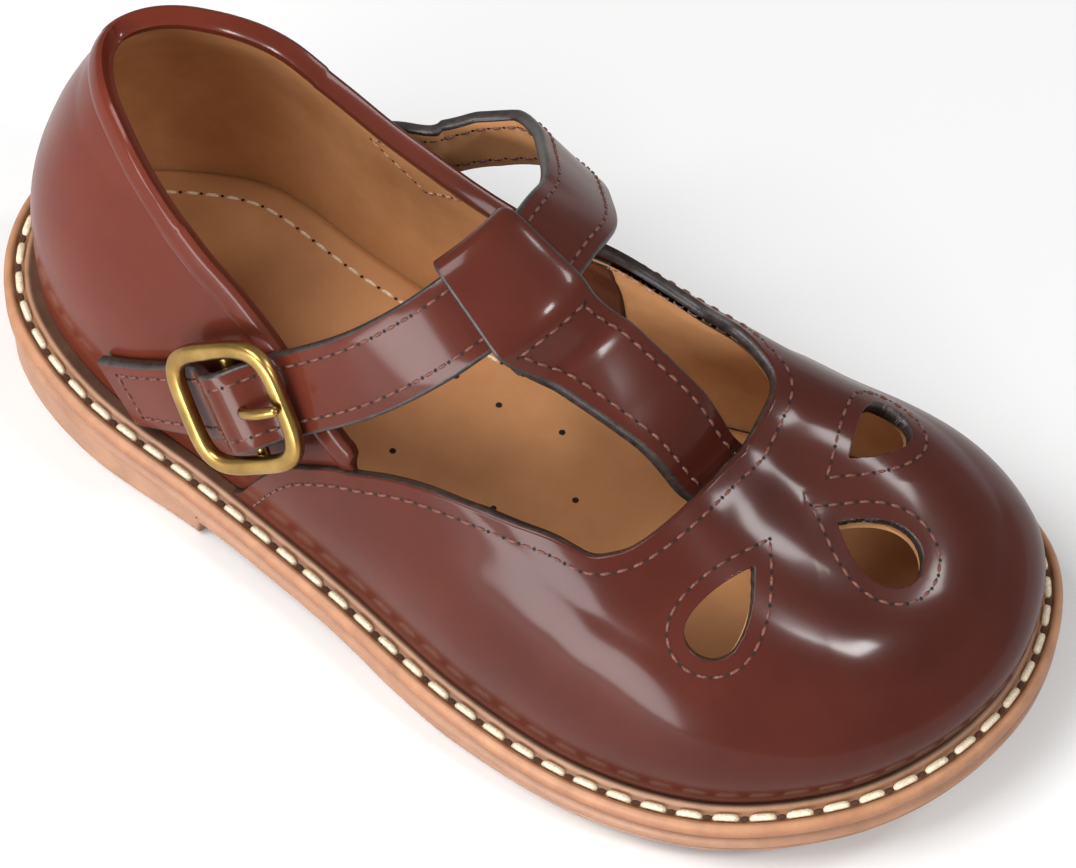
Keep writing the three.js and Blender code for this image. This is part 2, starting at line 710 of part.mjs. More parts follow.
// T-bar: sewn under the vamp, laid over the ankle strap, folded back under it and sewn to itself
function tBarGeometry() {
  const steps = 4 * strapSteps;
  const frames = strapFrames(steps);
  const strap = frames[Math.round(steps * loopRow / (strapRows.length - 1))];
  const along = new THREE.Vector2(Math.abs(strap.across.x), -Math.abs(strap.across.z)).normalize();
  const upward = new THREE.Vector2(-along.y, along.x);
  const centre = new THREE.Vector2(strap.centre.x, strap.centre.z);
  const at = (u, v) => centre.clone().addScaledVector(along, u).addScaledVector(upward, v);
  const slotHalf = strapWidth / 2 + clearance;
  const slotHigh = strapThickness / 2 + clearance;
  const roof = slotHigh + tBarThickness;
  const flapEnd = slotHalf + loopFlap;
  const loopSection = [
    [-slotHalf, -roof],
    [flapEnd, -roof],
    [flapEnd, tBarThickness - slotHigh],
    [slotHalf + loopFlap / 2, slotHigh],
    [slotHalf, roof],
    [-slotHalf, roof],
    [-slotHalf - 0.8 * tBarThickness, slotHigh],
    [-slotHalf - tBarThickness, 0],
    [-slotHalf - 0.8 * tBarThickness, -slotHigh],
  ];
  const slotSection = [
    [-slotHalf, -slotHigh],
    [slotHalf, -slotHigh],
    [slotHalf, slotHigh],
    [-slotHalf, slotHigh],
  ];
  const sleeve = (reach, section) => {
    const near = frames.filter((frame) => frame.centre.distanceTo(strap.centre) < reach);
    const turned = strap.across.x > 0 ? section : section.map(([u, v]) => [-u, v]).reverse();
    return solidOf(sweptGeometry(near, turned, false));
  };
  const endX = at(flapEnd, 0).x;
  const under = tBarRows.filter((row) => row.at * shoeLength > endX);
  const top = under.map((row) => ({ at: row.at, lift: row.lift + tBarThickness })).reverse();
  const outline = [
    ...under.map((row) => ridgePoint(row.at, row.lift)),
    at(slotHalf + loopFlap / 3, -slotHigh),
    at(slotHalf + loopFlap / 3, tBarThickness - slotHigh),
    ...top.map((row) => ridgePoint(row.at, row.lift)),
  ];
  const halfWidthAt = (x) => {
    const share = THREE.MathUtils.clamp((x - endX) / (throatFront - endX), 0, 1);
    return THREE.MathUtils.lerp(loopWidth, tBarWidth, share) / 2;
  };
  const turnAt = (x) => {
    const share = THREE.MathUtils.clamp((throatFront - x) / (throatFront - endX), 0, 1);
    const across = strap.along.y;
    return { slant: strap.along.x / across * share, tilt: strap.along.z / across * share };
  };
  const loop = sleeve(loopWidth / 2, loopSection).subtract(sleeve(loopWidth, slotSection));
  const strip = solidOf(crownedBlock(outline, halfWidthAt, turnAt));
  return geometryOfSolid(largestBody(loop.add(strip.subtract(sleeve(loopWidth, slotSection)))));
}

// Block drawn in side view, crowned and turned with the strap across the T-bar's own plan line
const tBarCrown = 26;
function crownedBlock(outline, halfWidthAt, turnAt) {
  const steps = 8;
  const shape = new THREE.Shape(outline);
  const block = new THREE.ExtrudeGeometry(shape, { depth: 2, steps, bevelEnabled: false });
  block.translate(0, 0, -1).rotateX(Math.PI / 2);
  const position = block.attributes.position;
  for (let i = 0; i < position.count; i += 1) {
    const x = position.getX(i);
    const y = position.getY(i) * halfWidthAt(x);
    const { slant, tilt } = turnAt(x);
    position.setX(i, x + slant * y);
    position.setY(i, tBarLine(x) + y);
    position.setZ(i, position.getZ(i) + tilt * y - y ** 2 / (2 * tBarCrown));
  }
  return block;
}

const shoe = new THREE.Group();
function addPiece(name, geometry, color, roughness, metalness = 0) {
  const material = new THREE.MeshStandardMaterial({ color, roughness, metalness });
  const mesh = new THREE.Mesh(geometry, material);
  mesh.name = name;
  shoe.add(mesh);
}

addPiece('outsole', outsoleGeometry(), 0xa87a5c, 0.6);
addPiece('welt', weltGeometry(), 0xc09070, 0.6);
addPiece('insole', insoleGeometry(), 0x9a6a42, 0.7);
addPiece('upper', upperGeometry(), 0x63302a, 0.2);
addPiece('t_bar', tBarGeometry(), 0x63302a, 0.2);
addPiece('ankle_strap', strapGeometry(), 0x63302a, 0.2);
addPiece('buckle_tab', tabGeometry(), 0x63302a, 0.3);
addPiece('buckle_frame', buckleGeometry(), 0xc8a850, 0.3, 1);
addPiece('buckle_prong', buckleRod(prongPoints, prongDiameter), 0xc8a850, 0.3, 1);

const group = new THREE.Group();
const box = new THREE.Box3().setFromObject(shoe);
shoe.position.set(-(box.min.x + box.max.x) / 2, -(box.min.y + box.max.y) / 2, -box.min.z);
group.add(shoe);

export default group;
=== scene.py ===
"""Looks of the child's T-bar shoe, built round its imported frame. Metres, toe towards +X, floor at z = 0."""
import math
import bmesh
import bpy
import numpy as np
from mathutils import Matrix, Vector
from mathutils.bvhtree import BVHTree


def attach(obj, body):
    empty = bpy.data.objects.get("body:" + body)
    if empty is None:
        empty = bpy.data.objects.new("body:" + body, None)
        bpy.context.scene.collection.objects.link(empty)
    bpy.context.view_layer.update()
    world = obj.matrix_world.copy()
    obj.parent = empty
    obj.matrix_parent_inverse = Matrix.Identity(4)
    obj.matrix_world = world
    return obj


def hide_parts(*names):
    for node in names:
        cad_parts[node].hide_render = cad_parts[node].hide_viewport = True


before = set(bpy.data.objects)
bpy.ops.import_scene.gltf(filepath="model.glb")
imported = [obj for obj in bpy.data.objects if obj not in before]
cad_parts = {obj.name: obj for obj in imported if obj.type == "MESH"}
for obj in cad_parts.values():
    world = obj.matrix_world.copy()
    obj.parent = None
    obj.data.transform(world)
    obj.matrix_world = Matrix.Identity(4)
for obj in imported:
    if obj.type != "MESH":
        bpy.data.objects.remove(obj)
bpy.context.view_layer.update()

LATERAL, MEDIAL = -1, 1
MM = 0.001

# Sizes of the shoe in millimetres, as the solids have them
SHOE_LENGTH = 164.0
BALL_WIDTH = 74.0
INSTEP_HEIGHT = 62.7
COLLAR_HEIGHT = 59.0
WELT_HEIGHT = 9.2
HEEL_RISE = 6.8
TOE_SPRING = 6.0
WAIST_LIFT = 2.6
WELT_THICKNESS = 2.8
UPPER_WALL = 1.8
VAMP_OVERLAY = 1.2
FEATHER_INSET = 5.2
INSOLE_THICKNESS = 4.4
STRAP_WIDTH = 12.0
STRAP_THICKNESS = 1.8
T_BAR_WIDTH = 11.5
T_BAR_THICKNESS = 1.6
LOOP_WIDTH = 13.5
BUCKLE_LENGTH = 21.0
BUCKLE_WIDTH = 20.0
BUCKLE_BAR = 2.6
CENTRE_BAR = 1.8
PRONG_DIAMETER = 1.6
TAB_THICKNESS = 0.8
CLEARANCE = 0.3
STITCH_PITCH = 2.3
STITCH_INSET = 2.5
STRAP_STITCH_INSET = 2.1


def curve_through(xs, ys):
    """Smooth function through a row of points."""
    xs, ys = np.array(xs, float), np.array(ys, float)
    steps, rises = np.diff(xs), np.diff(ys)
    slopes = np.empty(len(xs))
    slopes[0], slopes[-1] = rises[0] / steps[0], rises[-1] / steps[-1]
    inner = rises[:-1] / steps[:-1] * steps[1:] + rises[1:] / steps[1:] * steps[:-1]
    slopes[1:-1] = inner / (steps[:-1] + steps[1:])

    def value(x):
        at = np.clip(x, xs[0], xs[-1])
        i = np.clip(np.searchsorted(xs, at, side="right") - 1, 0, len(xs) - 2)
        t = (at - xs[i]) / steps[i]
        a = (2 * t**3 - 3 * t**2 + 1) * ys[i] + (3 * t**2 - 2 * t**3) * ys[i + 1]
        b = (t**3 - 2 * t**2 + t) * slopes[i] + (t**3 - t**2) * slopes[i + 1]
        return a + steps[i] * b

    return value


def length_share(station):
    """Share of the length at a station; stations lie closer at heel and toe."""
    return (1 - np.cos(np.pi * np.asarray(station, float))) / 2


def station_of(share):
    return np.arccos(1 - 2 * np.asarray(share, float)) / np.pi


# Outline of the sole: places along the shoe, and its reach to each side as shares of the ball width
OUTLINE_AT = [0.0, 0.07, 0.168, 0.305, 0.451, 0.597, 0.715, 0.832, 0.93, 1.0]
OUTLINE_LATERAL = [0.0, 0.29, 0.375, 0.401, 0.442, 0.504, 0.516, 0.459, 0.305, -0.083]
OUTLINE_MEDIAL = [0.0, 0.255, 0.36, 0.347, 0.349, 0.4, 0.485, 0.523, 0.44, 0.083]
half_lateral = curve_through(station_of(OUTLINE_AT), OUTLINE_LATERAL)
half_medial = curve_through(station_of(OUTLINE_AT), OUTLINE_MEDIAL)
# Height of the last's middle line, and fullness of its sides, along the shoe
ridge_height = curve_through(
    [0.18, 0.3, 0.4, 0.52, 0.63, 0.72, 0.8, 0.86],
    [1.26, 1.204, 1.124, 1.0, 0.829, 0.678, 0.555, 0.494],
)
FULL_AT = [0.0, 0.4, 0.58, 0.72, 0.95, 1.0]
full_lateral = curve_through(FULL_AT, [2.0, 2.0, 2.0, 2.1, 2.2, 2.2])
full_medial = curve_through(FULL_AT, [2.0, 2.15, 2.1, 1.9, 2.2, 2.2])
# Top line of the upper: places along the shoe, and its height on each side as shares of the collar's
TOP_AT = [-0.06, 0.085, 0.11, 0.14, 0.2, 0.262, 0.344, 0.41, 0.446,
          0.479, 0.518, 0.565, 0.61, 0.64, 0.66, 0.7, 0.73]
top_lateral = curve_through(TOP_AT, [0.96, 0.985, 1.0, 0.99, 0.905, 0.82, 0.71, 0.607, 0.566,
                                     0.612, 0.654, 0.68, 0.693, 0.7, 0.695, 0.67, 0.65])
top_medial = curve_through(TOP_AT, [0.96, 0.985, 1.0, 0.99, 0.905, 0.82, 0.74, 0.7, 0.7,
                                    0.735, 0.79, 0.82, 0.8, 0.785, 0.74, 0.68, 0.65])
# Front of the throat seen from above: its reach to each side as shares of the ball width
THROAT_AT = [0.6, 0.655, 0.675, 0.7, 0.711, 0.717, 0.7215, 0.724]
THROAT_REACH = {
    LATERAL: [0.7, 0.34, 0.305, 0.259, 0.205, 0.155, 0.095, 0.0],
    MEDIAL: [0.7, 0.226, 0.216, 0.193, 0.178, 0.155, 0.11, 0.06],
}
TIP_OFFSET = 0.083 * BALL_WIDTH
RIDGE_START = 0.238 * SHOE_LENGTH
RIDGE_END = 0.817 * SHOE_LENGTH


def lip(side, station):
    """Point of the sole's outline seen from above."""
    half = np.where(side < 0, half_lateral(station), half_medial(station))
    return np.stack([SHOE_LENGTH * length_share(station), side * BALL_WIDTH * half], -1)


def outline(side, station, inset):
    """Point of the sole's outline moved inwards."""
    side, station, inset = np.broadcast_arrays(side, np.asarray(station, float), inset)
    step = 1e-4
    along = lip(side, np.minimum(station + step, 1)) - lip(side, np.maximum(station - step, 0))
    along /= np.linalg.norm(along, axis=-1, keepdims=True)
    inward = np.stack([side * along[..., 1], -side * along[..., 0]], -1)
    return lip(side, station) + inward * inset[..., None]


def welt_top(station):
    """Height of the welt's upper face."""
    share = length_share(station)
    heel = np.maximum(1 - share / 0.5, 0) ** 1.3
    toe = np.maximum((share - 0.62) / 0.38, 0) ** 2
    return WELT_HEIGHT + HEEL_RISE * heel + (TOE_SPRING + 0.4) * toe


def tread_height(share):
    """Height of the sole's underside: flat heel, lifted waist and sprung toe."""
    waist = WAIST_LIFT * np.cos(np.clip((share - 0.3) / 0.22, 0, 1) * np.pi / 2)
    toe = TOE_SPRING * np.maximum((share - 0.7) / 0.3, 0) ** 2
    return np.where(share <= 0.3, 0.0, waist + toe)


def middle_line(x):
    return TIP_OFFSET * np.clip(x / SHOE_LENGTH, 0, 1) ** 3


def last(side, station, rise, lift=0.0):
    """Surface of the last: rise 0 on the welt, 1 on the top line; lift moves it outwards."""
    side, station, rise, lift = np.broadcast_arrays(
        np.asarray(side, float), np.asarray(station, float), np.asarray(rise, float), np.asarray(lift, float))
    foot = outline(side, station, FEATHER_INSET - lift)
    share = np.clip(foot[..., 0] / SHOE_LENGTH, 0, 1)
    ridge_x = RIDGE_START + (RIDGE_END - RIDGE_START) * length_share(station)
    ridge_y = middle_line(ridge_x)
    ridge_z = INSTEP_HEIGHT * ridge_height(ridge_x / SHOE_LENGTH) + lift
    foot_z = welt_top(station) + CLEARANCE
    power = 2 / np.where(side < 0, full_lateral(share), full_medial(share))
    angle = np.clip(rise, 0, 1) * np.pi / 2
    across = np.where(rise >= 1, 0, np.maximum(np.cos(angle), 0) ** power)
    up = np.sin(angle) ** power
    reach = np.hypot(foot[..., 0] - ridge_x, foot[..., 1] - ridge_y)
    bulge = np.where(rise >= 1, 0, 1.5 * np.sin(np.pi * np.minimum(1.6 * up, 1)))
    scale = across + bulge / reach
    return np.stack([
        ridge_x + (foot[..., 0] - ridge_x) * scale,
        ridge_y + (foot[..., 1] - ridge_y) * scale,
        foot_z + (ridge_z - foot_z) * up,
    ], -1)


def last_normal(side, station, rise):
    step = 1e-3
    low = np.clip(rise, step, 1 - 2 * step)
    along = last(side, np.asarray(station) + step, low) - last(side, np.asarray(station) - step, low)
    up = last(side, station, low + step) - last(side, station, low - step)
    normal = np.cross(along, up) * -np.asarray(side, float)[..., None]
    return normal / np.linalg.norm(normal, axis=-1, keepdims=True)


ring = np.linspace(0, 1, 37)
MIDDLE_Y = (lip(np.full(37, LATERAL), ring)[:, 1].min() + lip(np.full(37, MEDIAL), ring)[:, 1].max()) / 2


def place(points):
    """From the last's millimetres to the frame's metres."""
    return (np.asarray(points, float) - [SHOE_LENGTH / 2, MIDDLE_Y, 0]) * MM


def unplace(spot):
    """From the frame's metres to the last's millimetres."""
    return np.array(spot) / MM + [SHOE_LENGTH / 2, MIDDLE_Y, 0]


def smooth_row(values, width):
    """Running average with a bell-shaped weight, in samples."""
    reach = int(3 * width)
    weights = np.exp(-0.5 * (np.arange(-reach, reach + 1) / width) ** 2)
    first = 2 * values[0] - values[1:reach + 1][::-1]
    end = 2 * values[-1] - values[-reach - 1:-1][::-1]
    return np.convolve(np.concatenate([first, values, end]), weights / weights.sum(), "valid")


def throat_reach(side, x):
    """How far the throat reaches from the middle towards one side."""
    within = np.interp(x / SHOE_LENGTH, THROAT_AT, THROAT_REACH[side]) * BALL_WIDTH
    return within - 14 * np.maximum(x - THROAT_X, 0)


def edge_rise(side, height_at, stations):
    """For each station, the rise at which the last comes into the opening."""
    rises = np.linspace(0, 1, 501)
    points = last(side, stations[:, None], rises[None, :])
    x, y, z = points[..., 0], points[..., 1], points[..., 2]
    over = np.minimum(z - height_at(x), throat_reach(side, x) - side * y)
    found = over > 0
    first = np.where(found.any(1), found.argmax(1), len(rises) - 1)
    before = np.maximum(first - 1, 0)
    rows = np.arange(len(stations))
    a, b = over[rows, before], over[rows, first]
    share = np.where(found.any(1) & (first > 0), a / np.where(a == b, -1, a - b), 1)
    return np.where(found.any(1), rises[before] + (rises[first] - rises[before]) * share, 1.0)


THROAT_X = 0.724 * SHOE_LENGTH
VAMP_X = np.array([0.32, 0.335, 0.347, 0.368, 0.391, 0.435, 0.446, 0.455]) * SHOE_LENGTH
VAMP_Z = np.array([0.0, 0.17, 0.269, 0.378, 0.469, 0.55, 0.6, 1.4]) * COLLAR_HEIGHT
EDGE_STATIONS = np.linspace(0, 1, 1001)


def top_height(side):
    curve = top_lateral if side < 0 else top_medial

    return lambda x: COLLAR_HEIGHT * curve(x / SHOE_LENGTH)


def free_edge(side, vamp):
    """Rise of the upper's free edge at every station, rounded where the throat turns."""
    height = top_height(side)
    if vamp:
        rises = edge_rise(side, lambda x: np.minimum(height(x), np.interp(x, VAMP_X, VAMP_Z)), EDGE_STATIONS)
    else:
        rises = edge_rise(side, height, EDGE_STATIONS)
    full = int(np.argmax((EDGE_STATIONS > 0.6) & (rises >= 0.999)))
    slope = (rises[full] - rises[full - 12]) / 12
    rises[full:] = rises[full] + slope * np.arange(len(rises) - full)
    rises = smooth_row(rises, 6)
    return lambda station: np.clip(np.interp(station, EDGE_STATIONS, rises), 0, 1)


vamp_edge = {side: free_edge(side, True) for side in (LATERAL, MEDIAL)}
collar_edge = {side: free_edge(side, False) for side in (LATERAL, MEDIAL)}
# Station from which both sides meet on the middle line, and where each side of the vamp begins
CLOSED = EDGE_STATIONS[np.argmax((EDGE_STATIONS > 0.6) & (vamp_edge[LATERAL](EDGE_STATIONS) >= 1)
                                 & (vamp_edge[MEDIAL](EDGE_STATIONS) >= 1))]
VAMP_START = {side: float(EDGE_STATIONS[np.argmax(edge(EDGE_STATIONS) > 0.004)])
              for side, edge in vamp_edge.items()}


# Soft troughs (depth over 0) and swells (under 0) of the leather: from and to on the last,
# width and depth in mm
CREASES = [
    ((LATERAL, 0.46, 0.2), (LATERAL, 0.56, 0.36), 5.0, 0.35),
    ((LATERAL, 0.56, 0.16), (LATERAL, 0.66, 0.4), 7.0, -0.3),
    ((LATERAL, 0.62, 0.3), (LATERAL, 0.66, 0.62), 3.5, 0.22),
    ((LATERAL, 0.16, 0.1), (LATERAL, 0.26, 0.5), 6.0, 0.4),
    ((LATERAL, 0.3, 0.12), (LATERAL, 0.33, 0.5), 4.0, -0.3),
    ((LATERAL, 0.08, 0.3), (LATERAL, 0.12, 0.75), 5.0, 0.25),
    ((MEDIAL, 0.2, 0.15), (MEDIAL, 0.3, 0.45), 6.0, 0.35),
    ((MEDIAL, 0.48, 0.1), (MEDIAL, 0.56, 0.35), 5.0, 0.35),
    ((MEDIAL, 0.54, 0.12), (MEDIAL, 0.62, 0.45), 3.5, 0.3),
    ((MEDIAL, 0.66, 0.3), (MEDIAL, 0.7, 0.75), 4.0, 0.2),
    ((LATERAL, 0.72, 0.86), (MEDIAL, 0.72, 0.86), 3.0, 0.18),
    ((LATERAL, 0.82, 0.2), (LATERAL, 0.9, 0.6), 6.0, -0.2),
]


def relief(points):
    """Lift in millimetres that the creases give at places of the last."""
    lift = np.zeros(points.shape[:-1])
    for first, end, width, depth in CREASES:
        a, b = last(*first), last(*end)
        share = np.clip((points - a) @ (b - a) / ((b - a) @ (b - a)), 0, 1)
        gap = np.linalg.norm(points - (a + share[..., None] * (b - a)), axis=-1)
        lift -= depth * np.exp(-(gap / width) ** 2)
    return lift


# Fill of the dip along the middle of the vamp: places along the shoe, and slope towards the middle there
FILL_AT = np.array([96, 112, 119, 124, 128, 131, 134])
FILL_SLOPE = [0.0, 0.28, 0.35, 0.45, 0.54, 0.62, 0.68]
FILL_RADIUS = 3.6


def soft_last(side, station, rise, lift=0.0):
    """The last's surface with the leather's creases on it and its two sides rounded into each other."""
    points = last(side, station, rise, lift + relief(last(side, station, rise)))
    x = np.clip(points[..., 0], FILL_AT[0], RIDGE_END)
    gap = np.hypot(points[..., 0] - x, points[..., 1] - middle_line(x))
    points[..., 2] += np.interp(x, FILL_AT, FILL_SLOPE) * (np.hypot(gap, FILL_RADIUS) - gap)
    return points


# Mesh helpers

def add_grid(bm, points, layers=None):
    """Adds a grid whose faces look along rows x columns; points is rows x columns x 3, in metres."""
    rows, cols = points.shape[:2]
    made = bmesh.ops.create_grid(bm, x_segments=cols - 1, y_segments=rows - 1, size=0.5)["verts"]
    floats = bm.verts.layers.float
    keys = {name: floats.get(name) or floats.new(name) for name in (layers or {})}
    if keys:
        made = list(bm.verts)[-rows * cols:]
    for vert in made:
        i = round((vert.co.x + 0.5) * (cols - 1))
        j = round((vert.co.y + 0.5) * (rows - 1))
        vert.co = points[j, i]
        for name, key in keys.items():
            vert[key] = float(layers[name][j, i])


def piece(name, bm, materials, replaces=(), merge=True, sharp=40):
    """Turns a bmesh into an object that rides with the shoe."""
    if merge:
        bmesh.ops.remove_doubles(bm, verts=bm.verts, dist=2e-5)
        bmesh.ops.dissolve_degenerate(bm, edges=bm.edges, dist=1e-6)
    limit = math.radians(sharp)
    for edge in bm.edges:
        if len(edge.link_faces) == 2 and edge.calc_face_angle(0) > limit:
            edge.smooth = False
    for face in bm.faces:
        face.smooth = True
    mesh = bpy.data.meshes.new(name)
    bm.to_mesh(mesh)
    bm.free()
    for material in materials:
        mesh.materials.append(material)
    obj = bpy.data.objects.new(name, mesh)
    bpy.context.scene.collection.objects.link(obj)
    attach(obj, "root")
    if replaces:
        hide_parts(*replaces)
    return obj


def unit(vectors):
    vectors = np.asarray(vectors, float)
    return vectors / np.maximum(np.linalg.norm(vectors, axis=-1, keepdims=True), 1e-12)


def frames_along(centres, outs, closed=False):
    """Along, across and outward directions at each point of a path."""
    centres = np.asarray(centres, float)
    if closed:
        along = np.roll(centres, -1, 0) - np.roll(centres, 1, 0)
    else:
        along = np.gradient(centres, axis=0)
    along = unit(along)
    across = unit(np.cross(outs, along))
    return centres, along, across, unit(np.cross(along, across))


def sweep(bm, frames, section, materials=None, closed_path=False, cap_material=0):
    """Sweeps a closed section, counter-clockwise seen along the path, in millimetres."""
    centres, _, across, out = frames
    section = np.asarray(section, float)
    if section.ndim == 2:
        section = np.repeat(section[None], len(centres), 0)
    points = centres[:, None] + across[:, None] * section[..., :1] + out[:, None] * section[..., 1:]
    count, size = points.shape[:2]
    verts = [[bm.verts.new(place(p)) for p in row] for row in points]
    spans = count if closed_path else count - 1
    for k in range(spans):
        row, following = verts[k], verts[(k + 1) % count]
        for i in range(size):
            j = (i + 1) % size
            face = bm.faces.new((row[i], row[j], following[j], following[i]))
            face.material_index = materials[i] if materials else 0
    if not closed_path:
        for end in (verts[0][::-1], verts[-1]):
            bm.faces.new(end).material_index = cap_material


def band_section(width, thickness, corner, flat_steps=6, steps=3):
    """Section of a strap with rounded edges."""
    points = []
    half, high = width / 2, thickness / 2
    for sx, sy, start in ((-1, -1, 180), (1, -1, 270), (1, 1, 0), (-1, 1, 90)):
        for k in range(steps + 1):
            angle = math.radians(start + 90 * k / steps)
            points.append((sx * (half - corner) + corner * math.cos(angle),
                           sy * (high - corner) + corner * math.sin(angle)))
        if sx * sy > 0:
            sign = 1 if sy < 0 else -1
            for k in range(1, flat_steps):
                points.append((sign * (half - corner) * (2 * k / flat_steps - 1), sy * high))
    return np.array(points)


PAINTED = 1
PAINT_REACH = 0.42


def side_materials(section, width):
    """Material index for each span of a band: painted at its two edges."""
    middle = (section + np.roll(section, -1, 0)) / 2
    return [PAINTED if abs(m[0]) > width / 2 - PAINT_REACH else 0 for m in middle]


def round_section(diameter, sides=16):
    angles = 2 * np.pi * np.arange(sides) / sides
    return np.stack([np.cos(angles), np.sin(angles)], -1) * diameter / 2


def evenly(points, pitch, closed=False):
    """Points spaced evenly by about one pitch along a path."""
    points = np.asarray(points, float)
    if closed:
        points = np.concatenate([points, points[:1]])
    run = np.concatenate([[0], np.cumsum(np.linalg.norm(np.diff(points, axis=0), axis=1))])
    count = max(int(round(run[-1] / pitch)), 1)
    at = np.linspace(0, run[-1], count + 1)
    if closed:
        at = at[:-1]
    return np.stack([np.interp(at, run, points[:, k]) for k in range(3)], -1)


def on_surface(tree, points):
    """Nearest points of a surface and its normals; points in millimetres of the last."""
    spots, normals = [], []
    for point in place(points):
        spot, normal, _, _ = tree.find_nearest(Vector(point))
        spots.append(unplace(spot))
        normals.append(np.array(normal))
    return np.array(spots), np.array(normals)


# Shape of a stitch from one end to the other: places along it, its girth there, and how it sinks
STITCH_SHARES = np.array([-1.0, -0.8, -0.4, 0.0, 0.4, 0.8, 1.0])
STITCH_GIRTH = np.array([0.45, 0.85, 1.0, 1.0, 1.0, 0.85, 0.45])
STITCH_SINK = 0.1
STITCH_DIVE = 0.42
# Radius and lift of the flat dark disc painted at each stitch hole as its shade
STITCH_HOLE = 0.27
HOLE_LIFT = 0.035


def stitch_row(threads, holes, points, outs, length=1.55, radius=0.24, closed=False):
    """Stitches between neighbouring points: a short round thread that dives into a hole at each end, and a
    dark disc at each hole painted as its shade.
    """
    count = len(points)
    for k in range(count if closed else count - 1):
        a, b = points[k], points[(k + 1) % count]
        out = unit(outs[k] + outs[(k + 1) % count])
        along = unit(b - a)
        middle = (a + b) / 2
        reach = min(length, 0.78 * np.linalg.norm(b - a)) / 2
        shares = STITCH_SHARES[:, None]
        centres = middle + along * shares * reach
        centres = centres + out * (radius * 0.55 - STITCH_SINK - STITCH_DIVE * np.abs(shares) ** 4)
        section = round_section(2 * radius, 6)[None] * STITCH_GIRTH[:, None, None]
        sweep(threads, frames_along(centres, np.repeat(out[None], len(shares), 0)), section)
    # Painted shade: a flat dark disc on each stitch hole
    for point, out in zip(points, outs):
        disc(holes, point + out * HOLE_LIFT, out, STITCH_HOLE)


def disc(bm, centre, out, radius, sides=8):
    """Adds a flat round face that looks outwards."""
    side = unit(np.cross(out, [0.31, 0.87, 0.38]))
    other = np.cross(out, side)
    ring_verts = [bm.verts.new(place(centre + radius * (math.cos(a) * side + math.sin(a) * other)))
                  for a in 2 * np.pi * np.arange(sides) / sides]
    bm.faces.new(ring_verts)


# Materials

def linear(colour):
    """Linear colour from a hexadecimal sRGB one."""
    parts = [int(colour[k:k + 2], 16) / 255 for k in (1, 3, 5)]
    return tuple(c / 12.92 if c <= 0.04045 else ((c + 0.055) / 1.055) ** 2.4 for c in parts) + (1.0,)


def add(tree, kind, inputs=None, **values):
    """Adds a shader node, sets its properties, and sets or links its inputs."""
    node = tree.nodes.new(kind)
    for key, value in values.items():
        setattr(node, key, value)
    for key, value in (inputs or {}).items():
        socket = node.inputs[key]
        if isinstance(value, bpy.types.NodeSocket):
            tree.links.new(value, socket)
        else:
            socket.default_value = value
    return node


def ramp(tree, factor, stops):
    node = add(tree, "ShaderNodeValToRGB", {"Fac": factor})
    while len(node.color_ramp.elements) < len(stops):
        node.color_ramp.elements.new(0.5)
    for element, (position, colour) in zip(node.color_ramp.elements, stops):
        element.position = position
        element.color = linear(colour)
    return node.outputs["Color"]


def new_material(name, roughness, **values):
    material = bpy.data.materials.new(name)
    material.use_nodes = True
    tree = material.node_tree
    shader = tree.nodes["Principled BSDF"]
    shader.inputs["Roughness"].default_value = roughness
    for key, value in values.items():
        shader.inputs[key.replace("_", " ")].default_value = value
    return material, tree, shader


def noise(tree, size_mm, detail=3.0, rough=0.5):
    """Noise whose grain is about size_mm wide on the shoe."""
    where = add(tree, "ShaderNodeTexCoord").outputs["Object"]
    return add(tree, "ShaderNodeTexNoise", {"Vector": where, "Scale": 1 / (size_mm * MM), "Detail": detail,
                                            "Roughness": rough}).outputs["Fac"]


def cells(tree, size_mm):
    """Pebbled cells about size_mm wide on the shoe."""
    where = add(tree, "ShaderNodeTexCoord").outputs["Object"]
    pebbles = add(tree, "ShaderNodeTexVoronoi", {"Vector": where, "Scale": 1 / (size_mm * MM)})
    return pebbles.outputs["Distance"]


def bumps(tree, shader, *layers):
    """Chains bump nodes: (height socket, strength, distance in millimetres)."""
    normal = None
    for height, strength, distance in layers:
        inputs = {"Height": height, "Strength": strength, "Distance": distance * MM}
        if normal is not None:
            inputs["Normal"] = normal
        normal = add(tree, "ShaderNodeBump", inputs).outputs["Normal"]
    tree.links.new(normal, shader.inputs["Normal"])


def paint(tree, shader, tone, mottle=None):
    """Links a tone to the base colour, darkened by a mottle where there is one."""
    if mottle is not None:
        mixed = add(tree, "ShaderNodeMix", {"Factor": 1.0, 6: tone, 7: mottle}, data_type="RGBA",
                    blend_type="MULTIPLY")
        tone = mixed.outputs[2]
    tree.links.new(tone, shader.inputs["Base Color"])


def patent_leather(name, dark, mid, light, roughness):
    """Glossy dressed leather: mottled red-brown under a clear finish, with painted light: lighter at the
    heel, where the light falls, and darker towards the toe.
    """
    material, tree, shader = new_material(name, roughness, Specular_IOR_Level=0.06, Coat_Weight=0.2,
                                          Coat_Roughness=0.12, Coat_IOR=1.6)
    spots = add(tree, "ShaderNodeTexCoord").outputs["Object"]
    lengthwise = add(tree, "ShaderNodeSeparateXYZ", {0: spots}).outputs[0]
    # Painted light: the heel end is painted lighter, as if lit, and the toe end darker
    painted_light_from_heel = add(tree, "ShaderNodeMapRange", {0: lengthwise, 1: -SHOE_LENGTH / 2 * MM,
                                                 2: SHOE_LENGTH / 2 * MM})
    tone = ramp(tree, painted_light_from_heel.outputs[0], [(0.0, light), (0.3, mid), (0.62, dark), (1.0, dark)])
    mottle = ramp(tree, noise(tree, 26, 4, 0.6), [(0.3, "#d6d0d0"), (0.7, "#ffffff")])
    paint(tree, shader, tone, mottle)
    bumps(tree, shader, (noise(tree, 9, 2), 0.12, 0.5), (cells(tree, 0.55), 0.05, 0.06))
    return material


